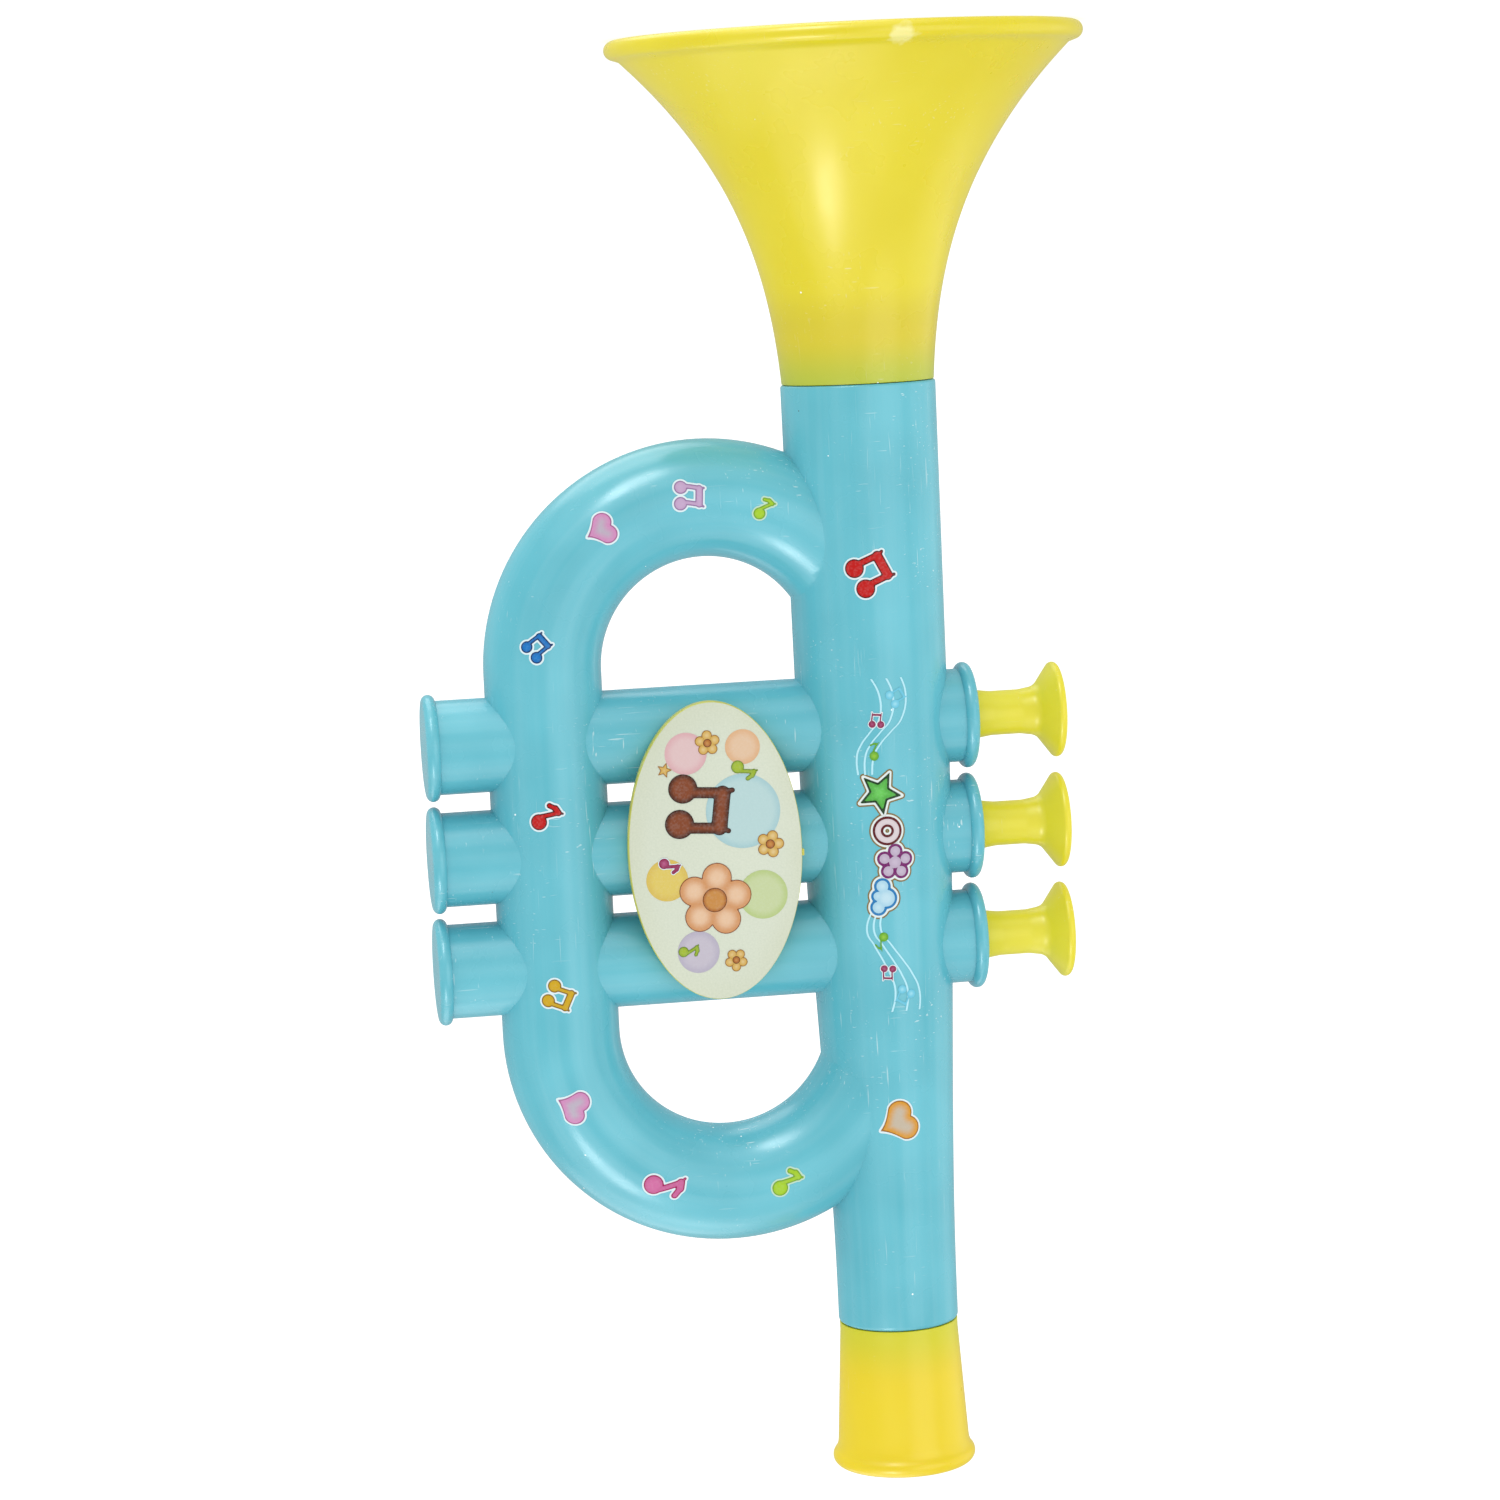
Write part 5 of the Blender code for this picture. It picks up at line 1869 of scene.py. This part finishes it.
@dataclass
class PrintedFilm:
    """Motifs printed on one carrier, as thin films of ink on its surface."""

    name: str
    places: PrintPlaces
    carrier: Carrier
    prints: Sequence[Print]
    lift: float = 0.03
    step: float = 0.02
    margin: float = 0.3
    finest: float = 0.05
    coarsest: float = 0.22
    cells_across: int = 36
    points: list[np.ndarray] = field(default_factory=list)
    faces: list[tuple[int, ...]] = field(default_factory=list)
    colours: list[np.ndarray] = field(default_factory=list)

    def build(self, material: bpy.types.Material) -> None:
        """Makes the film, dresses it and hands it to the frame.

        Args:
            material: the ink, which reads its colour from the film.
        """
        for item in self.prints:
            self.stamp(item)
        film = new_object(self.name, (np.vstack(self.points), self.faces))
        ink = film.data.attributes.new("ink", "FLOAT_COLOR", "POINT")
        ink.data.foreach_set("color", np.vstack(self.colours).astype(np.float32).ravel())
        finish_piece(film, material)

    def stamp(self, item: Print) -> None:
        """Adds one motif's layers to the film, the higher levels above the lower ones.

        Args:
            item: the motif's print.
        """
        low_x, high_x, low_y, high_y = (edge * item.size for edge in BOXES.get(item.motif, ROUND_BOX))
        margin = max(layer.reach for layer in item.inks.value) + self.margin
        cell = min(self.coarsest, max(self.finest, (high_x - low_x) / self.cells_across))
        xs = np.arange(low_x - margin, high_x + margin + cell, cell)
        ys = np.arange(low_y - margin, high_y + margin + cell, cell)
        grid_x, grid_y = np.meshgrid(xs, ys, indexing="ij")
        shape = motif_distance(item.motif, grid_x / item.size, grid_y / item.size, item.stroke) * item.size
        turn = math.radians(item.turn)
        flip = -1.0 if item.mirrored else 1.0
        for number, layer in enumerate(item.inks.value):
            grid, faces = region(shape - layer.reach)
            if not faces:
                continue
            across = xs[0] + grid[:, 0] * cell
            up = ys[0] + grid[:, 1] * cell
            far = motif_distance(item.motif, across / item.size, up / item.size, item.stroke) * item.size
            depth = layer.reach - far
            right = flip * across
            around = right * math.sin(turn) + up * math.cos(turn)
            along = -right * math.cos(turn) + up * math.sin(turn)
            start = sum(len(points) for points in self.points)
            lift = self.lift + self.step * (number + 2 * item.level)
            self.points.append(self.places.on(self.carrier, item, along, around, lift))
            way = -1 if item.mirrored else 1
            self.faces += [tuple(start + corner for corner in ring[::way]) for ring in faces]
            share = np.clip(depth / layer.fade, 0.0, 1.0)[:, None]
            share = share * share * (3.0 - 2.0 * share)
            edge, middle = np.array(linear(layer.edge)), np.array(linear(layer.middle))
            self.colours.append((1 - share) * edge + share * middle)


@dataclass(frozen=True)
class StaffGroup:
    """One group of staff lines: its ends, the path of its middle line, and its lines' spacing."""

    start: float
    end: float
    path: tuple[Pair, ...]
    first_pitch: float
    last_pitch: float


UPPER_PATH = (
    (0.0, -0.45), (0.22, -1.55), (0.42, -0.95), (0.56, 0.95), (0.68, 2.65), (0.8, 3.65), (1.0, 3.85)
)
LOWER_PATH = ((0.0, 2.8), (0.17, 3.4), (0.32, 2.0), (0.5, 0.1), (0.62, -1.05), (0.8, -2.1), (1.0, -1.7))


@dataclass
class StaffLines:
    """Wavy white staff lines along the main tube, in two groups of three."""

    plan: BodyPlan
    groups: tuple[StaffGroup, ...] = (
        StaffGroup(109.6, 126.0, UPPER_PATH, 2.6, 1.2),
        StaffGroup(150.0, 167.4, LOWER_PATH, 0.95, 2.5),
    )
    width: float = 0.34
    lift: float = 0.04
    low: float = -3.0
    high: float = 6.0
    strip_columns: int = 3
    strip_rows: int = 90
    colour: str = "#AADBE6"

    def build(self, material: bpy.types.Material) -> None:
        """Makes both groups, dresses them and hands them to the frame.

        Args:
            material: the ink, which reads its colour from the lines.
        """
        for number, group in enumerate(self.groups, start=1):
            lines = new_object(f"staff_lines_{number}", (np.zeros((1, 3)), []))
            self.rule(group, material).run(lines)
            ink = lines.data.attributes.new("ink", "FLOAT_COLOR", "POINT")
            count = len(lines.data.vertices)
            ink.data.foreach_set("color", np.tile(linear(self.colour), count).astype(np.float32))
            finish_piece(lines, material)

    def rule(self, group: StaffGroup, material: bpy.types.Material) -> ShapeRule:
        """Returns the rule that lays one group's lines on the tube.

        Three flat strips stand side by side, one metre apart, so that a point's rounded X is the
        number of its line. Each point then takes its place on the tube.

        Args:
            group: the group.
            material: the ink.

        Returns:
            The finished rule.
        """
        plan = self.plan
        rule = ShapeRule(
            "staff_lines",
            {
                "Lines": 3,
                "Width": self.width * MM,
                "Start": group.start * MM,
                "Length": (group.end - group.start) * MM,
                "First Pitch": group.first_pitch * MM,
                "Last Pitch": group.last_pitch * MM,
                "Start Radius": (float(plan.tube_radius(group.start)) + self.lift) * MM,
                "End Radius": (float(plan.tube_radius(group.end)) + self.lift) * MM,
                "Axis X": plan.axis_x * MM,
                "Material": material,
            },
        )
        given = rule.given
        strip = rule.add(Kind.GRID, given["Width"], given["Length"], self.strip_columns, self.strip_rows)
        row = rule.add(Kind.MESH_LINE, given["Lines"], None, (1.0, 0.0, 0.0))
        real = rule.add(Kind.REALIZE, rule.add(Kind.INSTANCES, row, None, strip))
        across, down, _ = rule.add(Kind.SPLIT, rule.add(Kind.POSITION)).node.outputs
        line = rule.add(Kind.ROUND, across)
        share = rule.add(Kind.ADD, rule.add(Kind.DIVIDE, down, given["Length"]), 0.5)
        curve = rule.add(Kind.CURVE, None, share)
        mapping = curve.node.mapping
        path = mapping.curves[0].points
        scaled = [(place, (side - self.low) / (self.high - self.low)) for place, side in group.path]
        path[0].location = scaled[0]
        path[1].location = scaled[-1]
        for place, side in scaled[1:-1]:
            path.new(place, side)
        mapping.update()
        middle = rule.add(Kind.RANGE, curve, None, None, self.low * MM, self.high * MM)
        pitch = rule.add(Kind.RANGE, share, None, None, given["First Pitch"], given["Last Pitch"])
        radius = rule.add(Kind.RANGE, share, None, None, given["Start Radius"], given["End Radius"])
        step = rule.add(Kind.MULTIPLY, rule.add(Kind.SUBTRACT, line, 1.0), pitch)
        side = rule.add(Kind.ADD, rule.add(Kind.ADD, middle, step), rule.add(Kind.SUBTRACT, across, line))
        angle = rule.add(Kind.DIVIDE, side, radius)
        out = rule.add(Kind.MULTIPLY, radius, rule.add(Kind.SINE, angle))
        depth = rule.add(Kind.MULTIPLY, rule.add(Kind.MULTIPLY, radius, -1.0), rule.add(Kind.COSINE, angle))
        rise = rule.add(Kind.MULTIPLY, share, given["Length"])
        x, z = rule.add(Kind.ADD, given["Axis X"], out), rule.add(Kind.ADD, given["Start"], rise)
        rule.close(rule.add(Kind.SET_POSITION, real, None, rule.add(Kind.COMBINE, x, depth, z)))
        return rule


@dataclass(frozen=True)
class SoftBox:
    """A soft light: its place as the camera sees it (right, up, near), size, power and fill.

    One that doesn't fill shows only as a sheen on gloss.
    """

    name: str
    direction: Triple
    width: float
    length: float
    power: float
    fills: bool = False
    distance: float = 0.9


@dataclass
class Studio:
    """The camera, the white paper that the trumpet stands on, and the soft lights."""

    lens: float = 105.6
    sensor: float = 36.0
    place: Triple = (0.10813, -0.74734, 0.03065)
    right: Triple = (-0.98838, -0.14462, 0.04677)
    up: Triple = (-0.06335, 0.11228, -0.99166)
    near: Triple = (0.13817, -0.98310, -0.12014)
    target: Triple = (0.0, 0.0, 0.125)
    floor_size: float = 6.0
    ambient: float = 1.24
    mirrored: float = 0.5
    paper: LitPaper = LitPaper()
    lights: tuple[SoftBox, ...] = (
        SoftBox("top_softbox", (-0.24, 0.79, 0.56), 0.28, 0.4, 3.0),
        SoftBox("top_scrim", (-0.2, 0.9, 0.38), 1.4, 1.5, 5.6),
        SoftBox("top_strip", (-0.3, 0.9, -0.35), 0.7, 0.9, 2.8, fills=True),
        SoftBox("bottom_softbox", (-0.25, -0.79, 0.56), 0.28, 0.36, 2.5),
        SoftBox("bottom_scrim", (-0.15, -0.9, 0.42), 1.4, 1.5, 5.2),
        SoftBox("bottom_strip", (-0.2, -0.93, -0.3), 0.7, 0.9, 2.2),
        SoftBox("side_softbox", (0.62, -0.08, 0.78), 0.9, 0.9, 2.6),
        SoftBox("side_scrim", (0.97, -0.05, -0.2), 1.0, 1.0, 1.7),
    )

    def build(self) -> None:
        """Makes the camera, the paper, the lights and the sky."""
        scene = bpy.context.scene
        axes = Matrix((self.right, self.up, self.near)).transposed()
        lens = bpy.data.cameras.new("photo_camera")
        lens.lens = self.lens
        lens.sensor_width = self.sensor
        camera = bpy.data.objects.new("photo_camera", lens)
        camera.matrix_world = Matrix.Translation(self.place) @ axes.to_4x4()
        scene.collection.objects.link(camera)
        scene.camera = camera
        scene.view_settings.view_transform = "Standard"

        half = self.floor_size / 2 / MM
        corners = [(-half, -half, 0.0), (half, -half, 0.0), (half, half, 0.0), (-half, half, 0.0)]
        floor = new_object("paper_floor", (np.array(corners), [(0, 1, 2, 3)]))
        paper = self.paper.material()
        paper.cycles.emission_sampling = "NONE"
        floor.data.materials.append(paper)
        floor.visible_shadow = False
        floor.visible_glossy = False
        floor.visible_diffuse = False

        for box in self.lights:
            lamp = bpy.data.lights.new(box.name, "AREA")
            lamp.shape = "ELLIPSE"
            lamp.size = box.width
            lamp.size_y = box.length
            lamp.energy = box.power
            light = bpy.data.objects.new(box.name, lamp)
            way = (axes @ Vector(box.direction)).normalized()
            turn = way.to_track_quat("Z", "Y").to_matrix().to_4x4()
            light.matrix_world = Matrix.Translation(Vector(self.target) + way * box.distance) @ turn
            light.visible_diffuse = box.fills
            scene.collection.objects.link(light)

        world = bpy.data.worlds.new("white_studio")
        world.use_nodes = True
        sky = world.node_tree.nodes["Background"].inputs
        net = NodeNet(world.node_tree)
        net.give(sky["Color"], WHITE)
        # Gloss mirrors a dimmer room than the paper that fills the shadows
        glossy = net.add(Kind.LIGHT_PATH).node.outputs["Is Glossy Ray"]
        net.give(sky["Strength"], net.add(Kind.RANGE, glossy, None, None, self.ambient, self.mirrored))
        scene.world = world


BODY_BLUE = MouldedPlastic(
    "moulded_blue_plastic", "#55ACBB", "#5DB4C3", 0.25, scuff=0.4, nick_share=0.25, grain="grain"
)
BELL_YELLOW = MouldedPlastic(
    "moulded_bell_plastic",
    "#D6C716",
    "#D9CB22",
    0.29,
    subsurface=0.15,
    scuff=0.3,
    speck_share=0.06,
    # Darker towards the neck, and a green tint painted as light bounced from the blue tube where they meet
    fades=(Fade("#C4B424", 50.0, 42.0, 0.55), Fade("#9CB83E", 60.0, 51.0, 0.65)),
    chafes=(Chafe((-21.6, -39.9, 2.9), 3.7, "#EDE9A8"),),
)
MOUTHPIECE_YELLOW = MouldedPlastic(
    "moulded_mouthpiece_plastic",
    "#DBC300",
    "#DFC706",
    0.32,
    subsurface=0.2,
    scuff=0.2,
    speck_share=0.05,
    # A green tint painted as light bounced from the blue tube near the joint
    fades=(Fade("#B8C41C", 224.0, 234.0, 0.6),),
)
BUTTON_YELLOW = MouldedPlastic(
    "moulded_button_plastic", "#DACE1F", "#DCD227", 0.34, subsurface=0.15, scuff=0.3, speck_share=0.08
)
PLAQUE_YELLOW = MouldedPlastic(
    "moulded_plaque_plastic", "#CCC64C", "#C4C452", 0.36, subsurface=0.15, scuff=0.3, speck_share=0.06
)
REED_IVORY = MouldedPlastic(
    "moulded_reed_plastic", "#E4DECB", "#EDE8D8", 0.45, subsurface=0.1, scuff=0.15, speck_share=0.02
)
LABEL_PAPER = CoatedPaper("coated_label_paper", "#BEC6B3", "#B6BC9F", (11.4, 137.6), (14.81, 25.51))
SPRING_STEEL = DrawnSteel("drawn_spring_wire", "#C2C4C6", (1.0, 0.1, 0.1))
REED_STEEL = DrawnSteel("rolled_reed_strip", "#B9BCBE", (1.0, 1.0, 0.05))
INK = PadPrintInk("pad_print_ink")

LOOP_PRINTS = (
    Print(Motif.HEART, Inks.PINK, 2.75, -57.5, 12.4, -103.0),
    Print(Motif.DOUBLE_NOTE, Inks.MAUVE, 1.14, -71.75, 8.3, -102.2, mirrored=True),
    Print(Motif.SINGLE_NOTE, Inks.GREEN, 1.03, -85.4, -6.5, -40.5, mirrored=True),
    Print(Motif.DOUBLE_NOTE, Inks.BLUE, 1.0, -35.35, 16.5, -131.1, mirrored=True),
    Print(Motif.SINGLE_NOTE, Inks.RED, 1.38, -6.8, 16.1, -161.5, mirrored=True),
    Print(Motif.DOUBLE_NOTE, Inks.MUSTARD, 1.14, 22.7, 12.8, 154.1),
    Print(Motif.HEART, Inks.PINK, 2.97, 41.9, 11.6, 132.7),
    Print(Motif.SINGLE_NOTE, Inks.MAGENTA, 1.72, 61.15, 8.3, 121.3),
    Print(Motif.SINGLE_NOTE, Inks.GREEN, 1.38, 82.9, 3.8, 95.8, mirrored=True),
)
TUBE_PRINTS = (
    Print(Motif.DOUBLE_NOTE, Inks.RED, 1.61, 92.4, 14.15, -153.1, mirrored=True),
    Print(Motif.HEART, Inks.ORANGE, 3.6, 187.1, 4.0, -155.8),
    Print(Motif.STAR, Inks.LEAF_BADGE, 3.9, 129.2, 6.5, 170.0),
    Print(Motif.RING, Inks.WINE_BADGE, 2.5, 135.8, 2.0, 180.0),
    Print(Motif.FLOWER, Inks.VIOLET_BADGE, 3.2, 141.3, -3.0, 195.0),
    Print(Motif.CLOUD, Inks.SKY_BADGE, 3.4, 147.3, 7.5, 165.0),
    Print(Motif.DOUBLE_NOTE, Inks.SKY_MARK, 0.74, 113.3, -6.0, -150.0, mirrored=True, level=1, stroke=0.5),
    Print(Motif.DOUBLE_NOTE, Inks.ROSE_MARK, 0.6, 117.4, 6.8, -95.0, mirrored=True, level=1, stroke=0.5),
    Print(Motif.SINGLE_NOTE, Inks.LEAF_MARK, 0.8, 122.8, 9.5, -110.0, mirrored=True, level=1, stroke=0.5),
    Print(Motif.SINGLE_NOTE, Inks.LEAF_MARK, 0.8, 154.2, 8.2, 80.0, level=1, stroke=0.5),
    Print(Motif.DOUBLE_NOTE, Inks.ROSE_MARK, 0.6, 159.8, 5.4, 85.0, level=1, stroke=0.5),
    Print(Motif.DOUBLE_NOTE, Inks.SKY_MARK, 0.74, 164.0, -9.0, 60.0, level=1, stroke=0.5),
)
LABEL_PRINTS = (
    Print(Motif.DISC, Inks.ROSE_SPOT, 3.6, -17.0, 4.4, 180.0),
    Print(Motif.DISC, Inks.SKY_SPOT, 6.4, -6.6, -5.0, 180.0),
    Print(Motif.DISC, Inks.AMBER_SPOT, 3.6, 4.5, 8.6, 180.0),
    Print(Motif.DISC, Inks.LIME_SPOT, 4.2, 8.0, -7.8, 180.0),
    Print(Motif.DISC, Inks.LILAC_SPOT, 3.6, 17.2, 3.8, 180.0),
    Print(Motif.DISC, Inks.PEACH_SPOT, 3.0, -17.6, -5.4, 180.0),
    Print(Motif.DOUBLE_NOTE, Inks.BROWN, 2.5, -8.0, 5.6, 172.0, level=1),
    Print(Motif.FLOWER, Inks.APRICOT, 6.4, 8.4, 0.6, 190.0, level=1),
    Print(Motif.DISC, Inks.HONEY, 2.1, 8.4, 0.6, 180.0, level=2),
    Print(Motif.FLOWER, Inks.GOLD, 2.4, -0.6, -9.4, 180.0, level=1),
    Print(Motif.DISC, Inks.HONEY, 0.8, -0.6, -9.4, 180.0, level=2),
    Print(Motif.FLOWER, Inks.GOLD, 2.2, -18.6, 0.6, 200.0, level=1),
    Print(Motif.DISC, Inks.HONEY, 0.72, -18.6, 0.6, 180.0, level=2),
    Print(Motif.FLOWER, Inks.GOLD, 2.0, 19.0, -2.6, 160.0, level=1),
    Print(Motif.DISC, Inks.HONEY, 0.66, 19.0, -2.6, 180.0, level=2),
    Print(Motif.SINGLE_NOTE, Inks.LEAF, 1.1, -14.2, -4.4, 165.0, level=1),
    Print(Motif.SINGLE_NOTE, Inks.ROSE_MARK, 0.9, 1.6, 9.0, 170.0, level=1),
    Print(Motif.SINGLE_NOTE, Inks.LEAF, 0.9, 17.0, 6.4, 200.0, level=1),
    Print(Motif.STAR, Inks.GOLD, 1.4, -14.4, 8.2, 180.0, level=1),
)


def dress_reed(nodes: dict[str, bpy.types.Object]) -> None:
    """Gives the reed unit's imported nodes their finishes.

    Args:
        nodes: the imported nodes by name.
    """
    ivory = REED_IVORY.material()
    strip = REED_STEEL.material()
    finishes = {"reed_holder": ivory, "reed_wedge": ivory, "reed_tongue": strip}
    for name, material in finishes.items():
        for slot in nodes[name].material_slots:
            slot.material = material
        log.info("%s: packed shape, new finish", name)


def main() -> None:
    """Builds the trumpet's looks, the studio and the camera."""
    logging.basicConfig(level=logging.INFO, format="%(message)s")
    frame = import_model()
    Studio().build()
    plan = BodyPlan()
    BlueBody(plan, BODY_BLUE).build()
    Bell(plan, BELL_YELLOW).build()
    Mouthpiece(plan, MOUTHPIECE_YELLOW).build()
    Valves(plan, BUTTON_YELLOW, SPRING_STEEL).build()
    plaque = Plaque(plan, PLAQUE_YELLOW, LABEL_PAPER)
    plaque.build()
    dress_reed(frame["nodes"])
    ink = INK.material()
    places = PrintPlaces(plan, plaque)
    PrintedFilm("loop_motifs", places, Carrier.LOOP, LOOP_PRINTS).build(ink)
    PrintedFilm("tube_motifs", places, Carrier.TUBE, TUBE_PRINTS).build(ink)
    PrintedFilm("label_motifs", places, Carrier.LABEL, LABEL_PRINTS).build(ink)
    StaffLines(plan).build(ink)
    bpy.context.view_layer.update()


if __name__ == "__main__":
    main()
